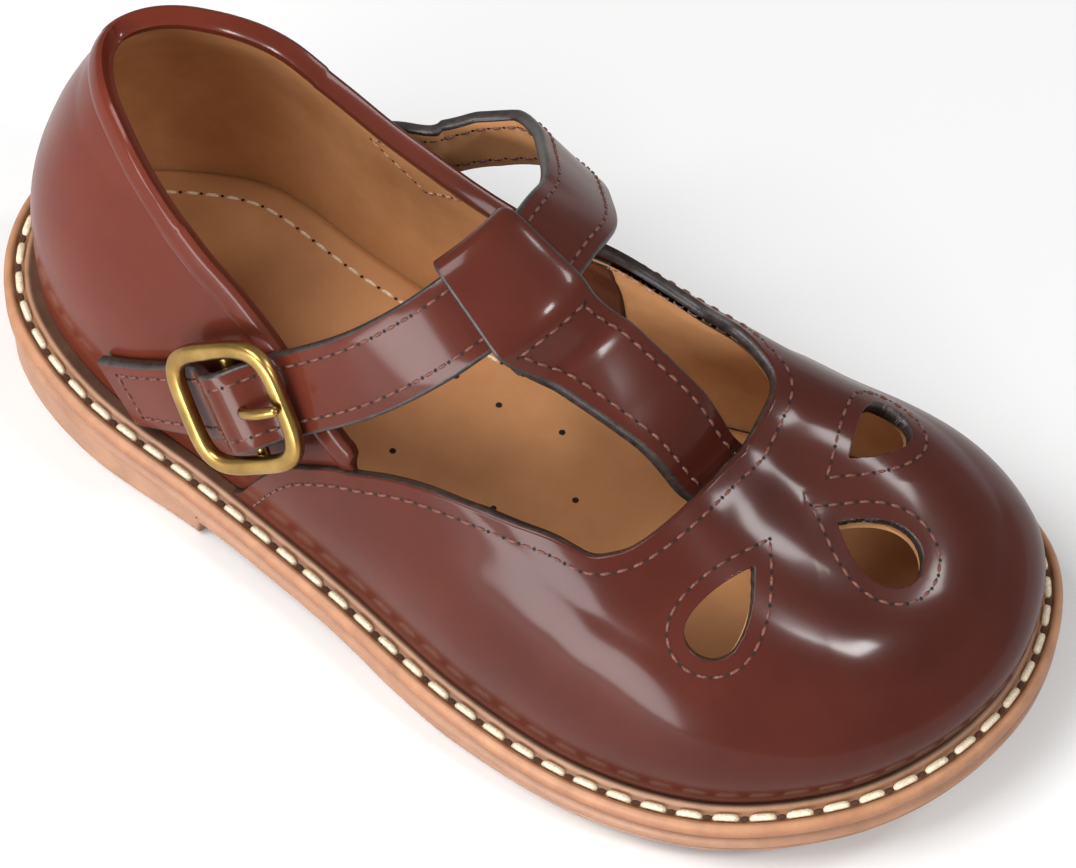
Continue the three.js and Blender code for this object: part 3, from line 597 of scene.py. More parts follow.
def painted_edge(name, colour, roughness=0.4):
    """Cut leather edge, painted near black."""
    material, tree, shader = new_material(name, roughness)
    paint(tree, shader, ramp(tree, noise(tree, 1.2, 4), [(0.3, colour), (0.75, "#3a302c")]))
    bumps(tree, shader, (noise(tree, 0.5, 4), 0.35, 0.15))
    return material


def soft_leather(name, dark, light, roughness, grain=0.7, mottle=9.0):
    """Undyed lining or footbed leather with a fine dry grain."""
    material, tree, shader = new_material(name, roughness)
    paint(tree, shader, ramp(tree, noise(tree, mottle, 5, 0.65), [(0.28, dark), (0.72, light)]))
    bumps(tree, shader, (noise(tree, 7, 2), 0.15, 0.5), (noise(tree, grain, 5, 0.7), 0.22, 0.12))
    return material


def rubber(name, dark, light, roughness=0.5):
    """Half-matt moulded rubber, lightly clouded."""
    material, tree, shader = new_material(name, roughness)
    paint(tree, shader, ramp(tree, noise(tree, 5, 5, 0.6), [(0.3, dark), (0.72, light)]))
    bumps(tree, shader, (noise(tree, 0.5, 4), 0.15, 0.1))
    return material


def thread(name, dark, light, roughness=0.6):
    """Twisted sewing thread."""
    material, tree, shader = new_material(name, roughness)
    paint(tree, shader, ramp(tree, noise(tree, 0.35, 3), [(0.3, dark), (0.7, light)]))
    bumps(tree, shader, (noise(tree, 0.25, 2), 0.5, 0.1))
    return material


def plain(name, colour, roughness):
    """One even colour, for the painted shade of a stitch hole and for the floor."""
    material, _, shader = new_material(name, roughness)
    shader.inputs["Base Color"].default_value = linear(colour)
    return material


# Toe, middle and heel colours of the leather; the lighter heel colour is painted light
leather = patent_leather("glossy_leather", "#4c2119", "#5a281c", "#69291a", 0.3)
edge_paint = painted_edge("painted_edge", "#17110f")
lining_leather = soft_leather("lining_leather", "#b88252", "#cc9868", 0.6)
footbed_leather = soft_leather("footbed_leather", "#a8754a", "#bc8859", 0.55, mottle=14)
sole_rubber = rubber("tan_rubber", "#8b634b", "#a1765a")
thread_dark = thread("red_brown_thread", "#40201a", "#774636")
thread_light = thread("light_brown_thread", "#8a5f45", "#c9a488")
thread_cream = thread("cream_thread", "#c9b596", "#ecdfc6")
# Painted shade: flat near-black and dark brown for the dark inside stitch holes, air holes and the welt's
# stitch pits
hole_painted_shade = plain("stitch_hole", "#120a09", 0.9)
welt_pit_painted_shade = plain("welt_pit_shade_paint", "#4a2f20", 0.9)


def brass_material():
    """Brass with a brownish, slightly worn surface."""
    material, tree, shader = new_material("old_brass", 0.3, Metallic=1.0)
    tone = ramp(tree, noise(tree, 6, 4, 0.6), [(0.3, "#876a3c"), (0.55, "#a6854c"), (0.8, "#bb9d64")])
    paint(tree, shader, tone)
    bumps(tree, shader, (noise(tree, 1.5, 4), 0.08, 0.1))
    return material


brass = brass_material()


def welt_material():
    """Rubber welt with painted light and shade by place across its section: lip and bead painted pale where
    light falls, the channel's flat painted darker as shade, and darker again under the lip and at the inner
    edge under the upper.
    """
    material, tree, shader = new_material("welt_rubber", 0.5)
    place_across = add(tree, "ShaderNodeAttribute", attribute_name="across").outputs["Fac"]
    # Painted light and shade across the section: lit lip and bead, shaded channel, shaded underside and inner
    # edge
    tone = ramp(tree, place_across, [
        (0.0, "#a2704f"), (0.22, "#c08a68"), (0.34, "#d2a07c"), (0.46, "#c99873"), (0.5, "#8e5f41"),
        (0.62, "#a5754f"), (0.72, "#a87a55"), (0.8, "#c39a7c"), (0.9, "#b89884"), (1.0, "#7d5a48")])
    mottle = ramp(tree, noise(tree, 4, 5, 0.6), [(0.3, "#b3a598"), (0.7, "#d2c6ba")])
    paint(tree, shader, tone, mottle)
    bumps(tree, shader, (noise(tree, 0.5, 4), 0.18, 0.1))
    return material


welt_rubber = welt_material()


# Upper: quarters, vamp, lining and bound collar

VAMP_COLUMNS = 260
OPEN_COLUMNS = 156
VAMP_ROWS = 56


def vamp_grid(side):
    """Vamp sheet of one side: columns from its pointed end at the welt to the toe."""
    start = VAMP_START[side]
    u = np.linspace(0, 1, OPEN_COLUMNS)
    stations = start + (CLOSED - start) * (0.35 * u**2 + 0.65 * u)
    stations = np.concatenate([stations, np.linspace(CLOSED, 1, VAMP_COLUMNS - OPEN_COLUMNS + 1)[1:]])
    top = vamp_edge[side](stations)
    v = np.linspace(0, 1, VAMP_ROWS)[:, None]
    return soft_last(side, stations[None, :], v * top[None, :], VAMP_OVERLAY)


def vamp_sheet():
    """Both sides of the vamp in one sheet, smoothed where the middle line ends at the toe."""
    bm = bmesh.new()
    outer, inner = vamp_grid(LATERAL), vamp_grid(MEDIAL)
    inner[:, -1] = outer[:, -1]
    add_grid(bm, place(outer))
    add_grid(bm, place(inner[:, ::-1]))
    bmesh.ops.remove_doubles(bm, verts=bm.verts, dist=2e-5)
    end = Vector(place(last(LATERAL, 1.0, 1.0)))
    for _ in range(24):
        bmesh.ops.smooth_vert(bm, verts=[v for v in bm.verts if (v.co - end).length < 8 * MM], factor=0.5,
                              use_axis_x=True, use_axis_y=True, use_axis_z=True)
    return bm


# Teardrop cut-outs: side, station and rise of the tip and of the round end, and width in mm
TEARDROPS = [
    (LATERAL, 0.756, 0.741, 0.713, 0.446, 7.6),
    (LATERAL, 0.9, 0.975, 1.0, 0.715, 9.6),
    (MEDIAL, 0.785, 0.83, 0.73, 0.525, 7.6),
]


def teardrop_outline(length, width, grow=0.0, tip=0.0, samples=40):
    """Outline of a teardrop with its tip at the origin, moved outwards by grow and at its tip by tip."""
    radius = width / 2
    middle = length - radius
    t = np.linspace(0, 1, samples)[:, None]
    lower = 2 * t * (1 - t) * np.array([0.55 * middle, -radius]) + t**2 * np.array([middle, -radius])
    angles = np.linspace(-math.pi / 2, math.pi / 2, samples)[1:, None]
    end = np.array([middle, 0.0]) + radius * np.concatenate([np.cos(angles), np.sin(angles)], 1)
    upper = lower[::-1][1:-1] * [1, -1]
    points = np.concatenate([lower, end, upper])
    if grow:
        along = np.roll(points, -1, 0) - np.roll(points, 1, 0)
        normal = np.stack([along[:, 1], -along[:, 0]], -1)
        normal /= np.linalg.norm(normal, axis=1, keepdims=True)
        points = points + grow * normal
        points[0] = [-tip, 0]
    return points


def teardrop_frame(row):
    """Tip, directions, length and width of a teardrop laid on the last."""
    side, tip_station, tip_rise, end_station, end_rise, width = row
    tip = last(side, tip_station, tip_rise)
    along = last(side, end_station, end_rise) - tip
    length = np.linalg.norm(along)
    along = along / length
    normal = last_normal(np.array(side), (tip_station + end_station) / 2, (tip_rise + end_rise) / 2)
    normal = unit(normal - along * (normal @ along))
    return tip, along, np.cross(normal, along), normal, length, width


def gap_to_outline(flat, a):
    """Distance of flat points to a closed outline, under 0 inside it, and the outline's nearest points."""
    b = np.roll(a, -1, 0)
    ab = b - a
    t = np.clip(((flat[:, None] - a) * ab).sum(-1) / (ab * ab).sum(-1), 0, 1)
    spots = a + ab * t[..., None]
    gaps = np.linalg.norm(flat[:, None] - spots, axis=-1)
    nearest = gaps.argmin(1)
    rows = np.arange(len(flat))
    over = (a[None, :, 1] > flat[:, None, 1]) != (b[None, :, 1] > flat[:, None, 1])
    rise = np.where(ab[:, 1] == 0, 1e-9, ab[:, 1])
    before = flat[:, None, 0] < a[None, :, 0] + ab[None, :, 0] * (flat[:, None, 1] - a[None, :, 1]) / rise
    inside = (over & before).sum(1) % 2 == 1
    return np.where(inside, -1, 1) * gaps[rows, nearest], spots[rows, nearest]


def cut_teardrop(bm, row):
    """Cuts a teardrop out of a sheet along its exact outline."""
    tip, along, across, _, length, width = teardrop_frame(row)
    outline_points = teardrop_outline(length, width)
    centre = Vector(place(tip + along * length / 2))
    reach = (length + 2 * width) * MM * 0.6

    def flatten(spots):
        local = np.array(spots) - place(tip)
        return np.stack([local @ along, local @ across], -1) / MM

    def gaps_near():
        near = [v for v in bm.verts if (v.co - centre).length < reach]
        gaps, spots = gap_to_outline(flatten([v.co for v in near]), outline_points)
        return near, gaps, spots

    near, gaps, _ = gaps_near()
    rim = {v for v, gap in zip(near, gaps) if abs(gap) < 1.3}
    fine = [e for e in bm.edges if e.verts[0] in rim and e.verts[1] in rim]
    bmesh.ops.subdivide_edges(bm, edges=fine, cuts=2, use_grid_fill=True)
    bmesh.ops.triangulate(bm, faces=[f for f in bm.faces if len(f.verts) > 4])
    near, gaps, spots = gaps_near()
    value = dict(zip(near, gaps))
    for v, gap, spot, flat in zip(near, gaps, spots, flatten([v.co for v in near])):
        if abs(gap) < 0.05:
            move = spot - flat
            v.co = v.co + Vector((along * move[0] + across * move[1]) * MM)
            value[v] = 0.0
    faces = {f for v in near if abs(value[v]) < 4 for f in v.link_faces if all(w in value for w in f.verts)}
    mixed = [f for f in faces if min(value[w] for w in f.verts) < 0 < max(value[w] for w in f.verts)]
    bmesh.ops.triangulate(bm, faces=mixed)
    edges = [e for e in bm.edges if e.verts[0] in value and e.verts[1] in value
             and value[e.verts[0]] * value[e.verts[1]] < 0]
    for e in edges:
        fa, fb = value[e.verts[0]], value[e.verts[1]]
        _, vert = bmesh.utils.edge_split(e, e.verts[0], fa / (fa - fb))
        value[vert] = 0.0
    for f in list(bm.faces):
        marks = [value.get(w) for w in f.verts]
        if None in marks or not (min(marks) < 0 < max(marks)):
            continue
        zero = [w for w in f.verts if value[w] == 0.0]
        if len(zero) == 2:
            bmesh.utils.face_split(f, zero[0], zero[1])
    within = [f for f in bm.faces if all(value.get(w, 1) <= 0 for w in f.verts)]
    gaps, _ = gap_to_outline(flatten([f.calc_center_median() for f in within]), outline_points)
    bmesh.ops.delete(bm, geom=[f for f, gap in zip(within, gaps) if gap < 0], context="FACES")
    loose = [v for v in bm.verts if not v.link_faces]
    bmesh.ops.delete(bm, geom=loose, context="VERTS")


def thicken(obj, thickness):
    """Gives a sheet its thickness inwards, with painted cut edges."""
    modifier = obj.modifiers.new("thickness", "SOLIDIFY")
    modifier.thickness = thickness * MM
    modifier.offset = -1
    modifier.use_rim = True
    modifier.material_offset_rim = PAINTED
    modifier.material_offset = 0


def project(tree, points, normal, reach=14.0):
    """Drops points on a surface against a direction."""
    spots = []
    for point in points:
        start = Vector(place(point + normal * reach))
        spot = tree.ray_cast(start, Vector(-normal))[0]
        if spot is None:
            spot = tree.find_nearest(Vector(place(point)))[0]
        spots.append(unplace(spot))
    return np.array(spots)


upper_threads, upper_hole_shade = bmesh.new(), bmesh.new()

vamp = vamp_sheet()
vamp_tree = BVHTree.FromBMesh(vamp)

# Stitch row beside the vamp's free edge, from the outer welt round the throat to the inner welt
edge_path = []
for side in (LATERAL, MEDIAL):
    full = EDGE_STATIONS[np.argmax(vamp_edge[side](EDGE_STATIONS) >= 0.9995)]
    stations = np.linspace(VAMP_START[side], full, 400)
    edge_points = last(side, stations, vamp_edge[side](stations), VAMP_OVERLAY)
    edge_path.append(edge_points if side < 0 else edge_points[::-1])
edge_path = evenly(np.concatenate(edge_path), 0.6)
edge_spots, edge_outs = on_surface(vamp_tree, edge_path)
edge_along = unit(np.gradient(edge_spots, axis=0))
edge_down = unit(np.cross(edge_along, edge_outs))
inner_path, _ = on_surface(vamp_tree, edge_spots + edge_down * STITCH_INSET)
row_points = evenly(inner_path[4:-4], STITCH_PITCH)
row_points, row_outs = on_surface(vamp_tree, row_points)
stitch_row(upper_threads, upper_hole_shade, row_points, row_outs)

TEARDROP_ROW_GAP = 2.3
TEARDROP_TIP_GAP = 4.2
for row in TEARDROPS:
    tip, along, across, normal, length, width = teardrop_frame(row)
    flat = teardrop_outline(length, width, TEARDROP_ROW_GAP, TEARDROP_TIP_GAP)
    path = tip + flat[:, :1] * along + flat[:, 1:] * across
    spots = evenly(project(vamp_tree, path, normal), STITCH_PITCH, closed=True)
    spots, outs = on_surface(vamp_tree, spots)
    stitch_row(upper_threads, upper_hole_shade, spots, outs, closed=True)

for row in TEARDROPS:
    cut_teardrop(vamp, row)
VAMP_SHEET = 1.7
thicken(piece("vamp", vamp, [leather, edge_paint], ["upper"], merge=False, sharp=60),
        VAMP_SHEET)

# Quarters: round the heel from under the vamp's outer edge to under its inner edge
QUARTER_REACH = 0.52
QUARTER_SHEET = 1.5


def signed(q):
    """Side and station of a place counted from the back of the heel."""
    return np.where(q < 0, MEDIAL, LATERAL), np.abs(q)


def quarter_top(q):
    """Rise of the quarters' top, kept under the vamp's edge where the vamp covers it."""
    side, station = signed(q)
    collar = np.where(side < 0, collar_edge[LATERAL](station), collar_edge[MEDIAL](station))
    under = np.where(side < 0, vamp_edge[LATERAL](station), vamp_edge[MEDIAL](station))
    hidden = np.clip((station - 0.455) / 0.02, 0, 1)
    return collar * (1 - hidden) + np.minimum(collar, under - 0.03) * hidden


quarter_q = np.linspace(-QUARTER_REACH, QUARTER_REACH, 420)
quarter_v = np.linspace(0, 1, 60)[:, None]
quarter_side, quarter_station = signed(quarter_q)
quarters = bmesh.new()
add_grid(quarters, place(soft_last(quarter_side[None], quarter_station[None],
                                   quarter_v * quarter_top(quarter_q)[None])))
thicken(piece("quarters", quarters, [leather, edge_paint], sharp=60), QUARTER_SHEET)

# Rolled binding of the collar: its section in mm, across and outwards, thinner where the vamp covers it
BINDING_REACH = 0.475
BINDING_TAPER = 0.02
binding_q = np.linspace(-BINDING_REACH, BINDING_REACH, 460)
side, station = signed(binding_q)
binding_path = soft_last(side, station, quarter_top(binding_q))
binding_out = last_normal(side, station, quarter_top(binding_q))
BINDING_SECTION = np.array([
    (-3.7, 0.02), (-3.4, 0.42), (-2.6, 0.62), (-1.2, 0.66), (-0.2, 0.5), (0.35, 0.05), (0.6, -0.75),
    (0.42, -1.55), (-0.1, -2.05), (-1.0, -2.3), (-2.2, -2.35), (-2.7, -2.2), (-2.75, -1.2)])
binding = bmesh.new()
centres, along, across, out = frames_along(binding_path, binding_out)
taper = np.clip((BINDING_REACH - np.abs(binding_q)) / BINDING_TAPER, 0.2, 1)[:, None, None]
sweep(binding, (centres, along, -across, out), BINDING_SECTION[::-1][None] * taper)
piece("collar_binding", binding, [leather], sharp=50)

# Lining inside quarters and vamp; its depth under the last's surface there
LINING_DEPTH = 1.75
VAMP_LINING_DEPTH = 1.25
lining_q = np.linspace(-1, 1, 720)
side, station = signed(lining_q)
into_vamp = np.clip((station - 0.44) / 0.08, 0, 1)
into_vamp = into_vamp * into_vamp * (3 - 2 * into_vamp)
edge = np.where(side < 0, vamp_edge[LATERAL](station), vamp_edge[MEDIAL](station))
lining_top = quarter_top(lining_q) * (1 - into_vamp) + edge * into_vamp
lining_lift = -LINING_DEPTH * (1 - into_vamp) - VAMP_LINING_DEPTH * into_vamp
lining = bmesh.new()
lining_v = np.linspace(0, 1, 56)[:, None]
lining_points = soft_last(side[None], station[None], lining_v * lining_top[None], lining_lift[None])
add_grid(lining, place(lining_points[:, ::-1]))
bmesh.ops.remove_doubles(lining, verts=lining.verts, dist=2e-5)
lining_tree = BVHTree.FromBMesh(lining)

# Seen from inside: the vamp's edge row and the box that sews the strap's root
lining_threads, lining_hole_shade = bmesh.new(), bmesh.new()
stitch_row(lining_threads, lining_hole_shade, *on_surface(lining_tree, row_points))
ROOT_BOX = np.array([(47.4, 16.9, 42.3), (56.0, 18.0, 35.4), (63.0, 18.8, 41.0), (55.4, 17.5, 48.0)])
root_box = evenly(np.concatenate([ROOT_BOX, ROOT_BOX[:1]]), STITCH_PITCH)
stitch_row(lining_threads, lining_hole_shade, *on_surface(lining_tree, root_box))
piece("lining_stitches", lining_threads, [thread_light], merge=False)
# Dark discs of painted shade at the lining's stitch holes
piece("lining_stitch_hole_shade", lining_hole_shade, [hole_painted_shade], merge=False)
for row in TEARDROPS:
    cut_teardrop(lining, row)
piece("lining", lining, [lining_leather], merge=False, sharp=60)

# Insole: dished footbed with a stitched border round the heel
insole_inset = FEATHER_INSET + UPPER_WALL + CLEARANCE
insole_s = np.linspace(0, 1, 240)
insole_w = np.linspace(0, 1, 90)
left, right = (outline(side, insole_s, insole_inset - 0.2) for side in (LATERAL, MEDIAL))
share = insole_w[:, None, None]
flat = left[None] * (1 - share) + right[None] * share
width_here = np.linalg.norm(right - left, axis=1)[None]
from_edge = np.minimum(insole_w[:, None], 1 - insole_w[:, None]) * width_here
end_gap = np.minimum(insole_s, 1 - insole_s)[None] * 90
from_edge = np.minimum(from_edge, end_gap)
height = (welt_top(insole_s) - WELT_THICKNESS + INSOLE_THICKNESS)[None]
height = height - 0.7 * np.exp(-(from_edge / 0.6) ** 2) - 0.5 * (1 - np.exp(-(from_edge / 12) ** 2))
insole = bmesh.new()
add_grid(insole, place(np.concatenate([flat, height[..., None]], -1)))
insole_tree = BVHTree.FromBMesh(insole)
piece("footbed", insole, [footbed_leather], ["insole"])

# Sewn border of the heel pad, and air holes under the ball with their places on the last in mm; each air hole
# is only a dark disc of painted shade
PAD_BORDER = 4.2
PAD_PITCH = 3.1
UPWARDS = np.array([0, 0, 1.0])
pad_threads, pad_hole_shade = bmesh.new(), bmesh.new()
pad_q = np.linspace(-0.46, 0.46, 300)
pad_side, pad_station = np.where(pad_q < 0, LATERAL, MEDIAL), np.abs(pad_q)
border = outline(pad_side, pad_station, insole_inset + PAD_BORDER)
border = np.concatenate([border, np.full((len(pad_q), 1), 17.0)], 1)
pad_points, _ = on_surface(insole_tree, evenly(border, PAD_PITCH))
stitch_row(pad_threads, pad_hole_shade, pad_points, np.repeat(UPWARDS[None], len(pad_points), 0), 2.1, 0.27)
AIR_HOLES = [
    (29.9, 2.1), (56.9, 19.3), (68.3, 8.5), (75.9, 14.5), (76.0, 8.1), (84.2, 15.8), (85.7, 9.5),
    (94.0, 14.8), (68.3, -7.0), (76.0, -13.0), (84.9, -6.5), (92.5, -13.5), (93.6, 1.2)]
AIR_HOLE_RADIUS = 0.5
for x, y in AIR_HOLES:
    spot, _ = on_surface(insole_tree, np.array([[x, y, 16.0]]))
    disc(pad_hole_shade, spot[0] + [0, 0, 0.05], UPWARDS, AIR_HOLE_RADIUS)
piece("pad_stitches", pad_threads, [thread_cream], merge=False)
piece("pad_hole_shade", pad_hole_shade, [hole_painted_shade], merge=False)

# Welt: swept round the sole, with its lip, channel and bead; rows of inset, lift and place across it
WELT_STATIONS = np.linspace(0, 1, 200)
welt_side = np.concatenate([np.full(200, LATERAL), np.full(198, MEDIAL)])
welt_station = np.concatenate([WELT_STATIONS, WELT_STATIONS[1:-1][::-1]])
WELT_ROWS = [
    (1.3, -2.75, 0.0), (0.6, -2.6, 0.05), (0.15, -2.2, 0.12), (0.0, -1.6, 0.2), (0.05, -1.0, 0.26),
    (0.3, -0.45, 0.32), (0.7, -0.12, 0.38), (1.05, -0.05, 0.43), (1.35, -0.2, 0.47), (1.5, -0.45, 0.5),
    (1.75, -0.62, 0.55), (2.1, -0.66, 0.6), (2.6, -0.64, 0.66), (2.95, -0.5, 0.71), (3.1, -0.2, 0.76),
    (3.25, 0.08, 0.82), (3.55, 0.2, 0.88), (3.85, 0.12, 0.93), (4.1, -0.15, 0.97), (5.4, -0.3, 1.0)]
welt_rows = []
for inset, lift, _ in WELT_ROWS:
    ring_points = outline(welt_side, welt_station, inset)
    welt_rows.append(np.concatenate([ring_points, (welt_top(welt_station) + lift)[:, None]], 1))
welt_rows = np.array(welt_rows)
welt_rows = np.concatenate([welt_rows, welt_rows[:, :1]], 1)
# Place across the section, which the welt's material turns into painted light and shade
across_values = np.repeat(np.array([row[2] for row in WELT_ROWS])[:, None], welt_rows.shape[1], 1)
welt = bmesh.new()
add_grid(welt, place(welt_rows), layers={"across": across_values})
piece("welt_strip", welt, [welt_rubber], ["welt"], sharp=50)

# Long cream stitches in the welt's channel, and the pits they come out of, laid on as flat dark brown shapes
# of painted shade
CHANNEL_INSET = 2.2
CHANNEL_DEPTH = 0.6
WELT_PITCH = 5.0
channel = np.concatenate([outline(welt_side, welt_station, CHANNEL_INSET),
                          (welt_top(welt_station) - CHANNEL_DEPTH)[:, None]], 1)
channel = evenly(channel, WELT_PITCH, closed=True)
welt_threads, welt_pit_shade = bmesh.new(), bmesh.new()
count = len(channel)
for k in range(count):
    a, b = channel[k], channel[(k + 1) % count]
    along = unit(b - a)
    shares = np.linspace(-1, 1, 9)
    centres = (a + b) / 2 + along * shares[:, None] * 1.85
    centres[:, 2] += 0.22 - 0.62 * np.abs(shares) ** 5
    scale = (1 - 0.5 * np.abs(shares) ** 6)[:, None, None]
    section = round_section(1.15, 8)[None] * scale * np.array([1.0, 0.75])
    sweep(welt_threads, frames_along(centres, np.repeat(UPWARDS[None], 9, 0)), section)
    # Painted shade: a flat dark brown shape at each pit
    shares = np.linspace(-1, 1, 5)
    pit = a + along * shares[:, None] * 0.6
    scale = np.array([0.5, 0.9, 1.0, 0.9, 0.5])[:, None, None]
    section = round_section(0.85, 8)[None] * scale * np.array([1.0, 0.25])
    sweep(welt_pit_shade, frames_along(pit, np.repeat(UPWARDS[None], 5, 0)), section)
piece("welt_stitches", welt_threads, [thread_cream], merge=False)
piece("welt_stitch_pit_shade", welt_pit_shade, [welt_pit_painted_shade], merge=False)

# Outsole: side wall with its ridge and groove, heel breast, tread
HEEL_SHARE = 0.3
BREAST_SHARE = 0.304
sole_station = station_of(np.clip(length_share(np.linspace(0, 1, 330)), 0, 1))
sole_station = np.sort(np.concatenate([sole_station, station_of([HEEL_SHARE, BREAST_SHARE])]))
sole_count = len(sole_station)
sole_side = np.concatenate([np.full(sole_count, LATERAL), np.full(sole_count - 2, MEDIAL)])
ring_station = np.concatenate([sole_station, sole_station[1:-1][::-1]])
sole_top = welt_top(ring_station) - WELT_THICKNESS - CLEARANCE
sole_low = tread_height(length_share(ring_station))
TREAD_INSET = 2.4


def toe_undercut(station):
    """How much further in the tread's edge lies under the toe."""
    return TREAD_INSET * np.maximum(length_share(station) - 0.6, 0) / 0.4


# Rows of the side wall: share of the height from tread to top, lift above it, and inset
SOLE_ROWS = [
    (0, 0.0, TREAD_INSET), (0, 0.12, 1.8), (0, 0.5, 1.3), (0, 0.9, 1.0), (0, 1.4, 0.8),
    (0.33, 0.6, 0.7), (0.66, -0.8, 0.6), (1, -3.1, 0.5), (1, -2.9, 0.62), (1, -2.75, 1.0),
    (1, -2.55, 1.05), (1, -2.4, 0.55), (1, -2.1, 0.28), (1, -1.6, 0.06), (1, -1.1, 0.0),
    (1, -0.7, 0.12), (1, -0.35, 0.45), (1, -0.1, 0.9), (1, 0.0, 1.4)]
sole_rows = []
for share, lift, inset in SOLE_ROWS:
    undercut = (1 - share) * toe_undercut(ring_station)
    ring_points = outline(sole_side, ring_station, inset + undercut)
    heights = sole_low * (1 - share) + sole_top * share + lift
    sole_rows.append(np.concatenate([ring_points, heights[:, None]], 1))
sole_rows = np.array(sole_rows)
sole_rows = np.concatenate([sole_rows, sole_rows[:, :1]], 1)
sole = bmesh.new()
add_grid(sole, place(sole_rows))

# Tread face: wavy grooves over heel and ball
GROOVE_PITCH = 5.6
GROOVE_DEPTH = 0.7
tread_w = np.linspace(0, 1, 90)
left, right = (outline(side, sole_station, TREAD_INSET + toe_undercut(sole_station))
               for side in (LATERAL, MEDIAL))
share = tread_w[:, None, None]
flat = left[None] * (1 - share) + right[None] * share
wave = np.cos(2 * np.pi * (flat[..., 0] + 1.6 * np.sin(flat[..., 1] / 5)) / GROOVE_PITCH)
from_side = np.minimum(tread_w, 1 - tread_w)[:, None] * np.linalg.norm(right - left, axis=1)[None]
far_in = np.clip((from_side - 3.5) / 1.5, 0, 1) * np.clip((flat[..., 0] - 8) / 3, 0, 1)
far_in = far_in * np.clip((SHOE_LENGTH - 12 - flat[..., 0]) / 3, 0, 1)
off_breast = np.clip((np.abs(flat[..., 0] - HEEL_SHARE * SHOE_LENGTH) - 4) / 2, 0, 1)
heights = (tread_height(length_share(sole_station))[None]
           + GROOVE_DEPTH * np.clip(wave * 2 - 0.9, 0, 1) * far_in * off_breast)
points = np.concatenate([flat, heights[..., None]], -1)
add_grid(sole, place(points[::-1]))
piece("sole_body", sole, [sole_rubber], ["outsole"], sharp=50)


# Straps

def catmull(points, count):
    """Even parameter samples of a centripetal spline through points."""
    points = np.asarray(points, float)
    total = len(points)
    result = []
    for k in range(count + 1):
        at = (total - 1) * k / count
        i = min(int(at), total - 2)
        t = at - i
        p0 = points[i - 1] if i > 0 else 2 * points[0] - points[1]
        p1, p2 = points[i], points[i + 1]
        p3 = points[i + 2] if i + 2 < total else 2 * points[-1] - points[-2]
        d0, d1, d2 = (max(np.sum((b - a) ** 2) ** 0.25, 1e-4) for a, b in ((p0, p1), (p1, p2), (p2, p3)))
        m1 = ((p1 - p0) / d0 - (p2 - p0) / (d0 + d1) + (p2 - p1) / d1) * d1
        m2 = ((p2 - p1) / d1 - (p3 - p1) / (d1 + d2) + (p3 - p2) / d2) * d1
        result.append(p1 + m1 * t + (-3 * p1 + 3 * p2 - 2 * m1 - m2) * t**2
                      + (2 * p1 - 2 * p2 + m1 + m2) * t**3)
    return np.array(result)


# Strap's middle on the last from its free end to its root: side, station, rise and lift
STRAP_ROWS = [
    (LATERAL, 0.302, 0.07, 1.3), (LATERAL, 0.33, 0.12, 1.3), (LATERAL, 0.362, 0.19, 1.5),
    (LATERAL, 0.395, 0.28, 1.6), (LATERAL, 0.425, 0.38, 1.8), (LATERAL, 0.452, 0.5, 2.2),
    (LATERAL, 0.474, 0.64, 2.6), (LATERAL, 0.485, 0.744, 3.1), (LATERAL, 0.494, 0.873, 2.9),
    (LATERAL, 0.495, 0.976, 2.4), (MEDIAL, 0.497, 0.88, 1.9), (MEDIAL, 0.495, 0.702, 3.1),
    (MEDIAL, 0.478, 0.549, 6.3), (MEDIAL, 0.46, 0.441, 9.8), (MEDIAL, 0.435, 0.344, 11.6),
    (MEDIAL, 0.41, 0.312, 8.7), (MEDIAL, 0.393, 0.299, 5.0), (MEDIAL, 0.381, 0.292, 2.2),
    (MEDIAL, 0.37, 0.266, 1.4), (MEDIAL, 0.361, 0.242, 1.3),
]
BUCKLE_ROW = 3
LOOP_ROW = 8


def on_last(row, lift):
    """Place lifted off the last along its normal."""
    side, station, rise = row[:3]
    return last(side, station, rise) + last_normal(np.array(side), station, rise) * lift


buckle_mark = STRAP_ROWS[BUCKLE_ROW]
buckle_seat = on_last(buckle_mark, 0)
buckle_out = last_normal(np.array(buckle_mark[0]), buckle_mark[1], buckle_mark[2])
buckle_along = on_last(STRAP_ROWS[BUCKLE_ROW + 1], 0) - on_last(STRAP_ROWS[BUCKLE_ROW - 1], 0)
buckle_along = unit(buckle_along - buckle_out * (buckle_along @ buckle_out))
buckle_across = np.cross(buckle_out, buckle_along)
BUCKLE_EASE = 0.3
centre_bar_lift = 2 * CLEARANCE + TAB_THICKNESS + CENTRE_BAR / 2 + BUCKLE_EASE
strap_over_bar = centre_bar_lift + CENTRE_BAR / 2 + 3 * CLEARANCE + TAB_THICKNESS + STRAP_THICKNESS / 2
buckle_lift = buckle_mark[3] + STRAP_THICKNESS / 2 + CLEARANCE + BUCKLE_EASE + BUCKLE_BAR / 2


def in_buckle(points):
    """From the buckle's own axes (along, across, out) to the last's."""
    points = np.asarray(points, float)
    return (buckle_seat + points[..., :1] * buckle_along + points[..., 1:2] * buckle_across
            + points[..., 2:3] * buckle_out)


def strap_route(steps=260):
    """Strap's middle, lifted over the buckle's bar, with its directions."""
    outs = unit(catmull([last_normal(np.array(r[0]), r[1], r[2]) for r in STRAP_ROWS], steps))
    route = catmull([on_last(r, r[3]) for r in STRAP_ROWS], steps)
    summit = on_last(buckle_mark, buckle_mark[3])
    away = np.linalg.norm(route - summit, axis=1) / 4.6
    route = route + outs * ((strap_over_bar - buckle_mark[3]) * np.exp(-away**2))[:, None]
    return frames_along(route, outs)


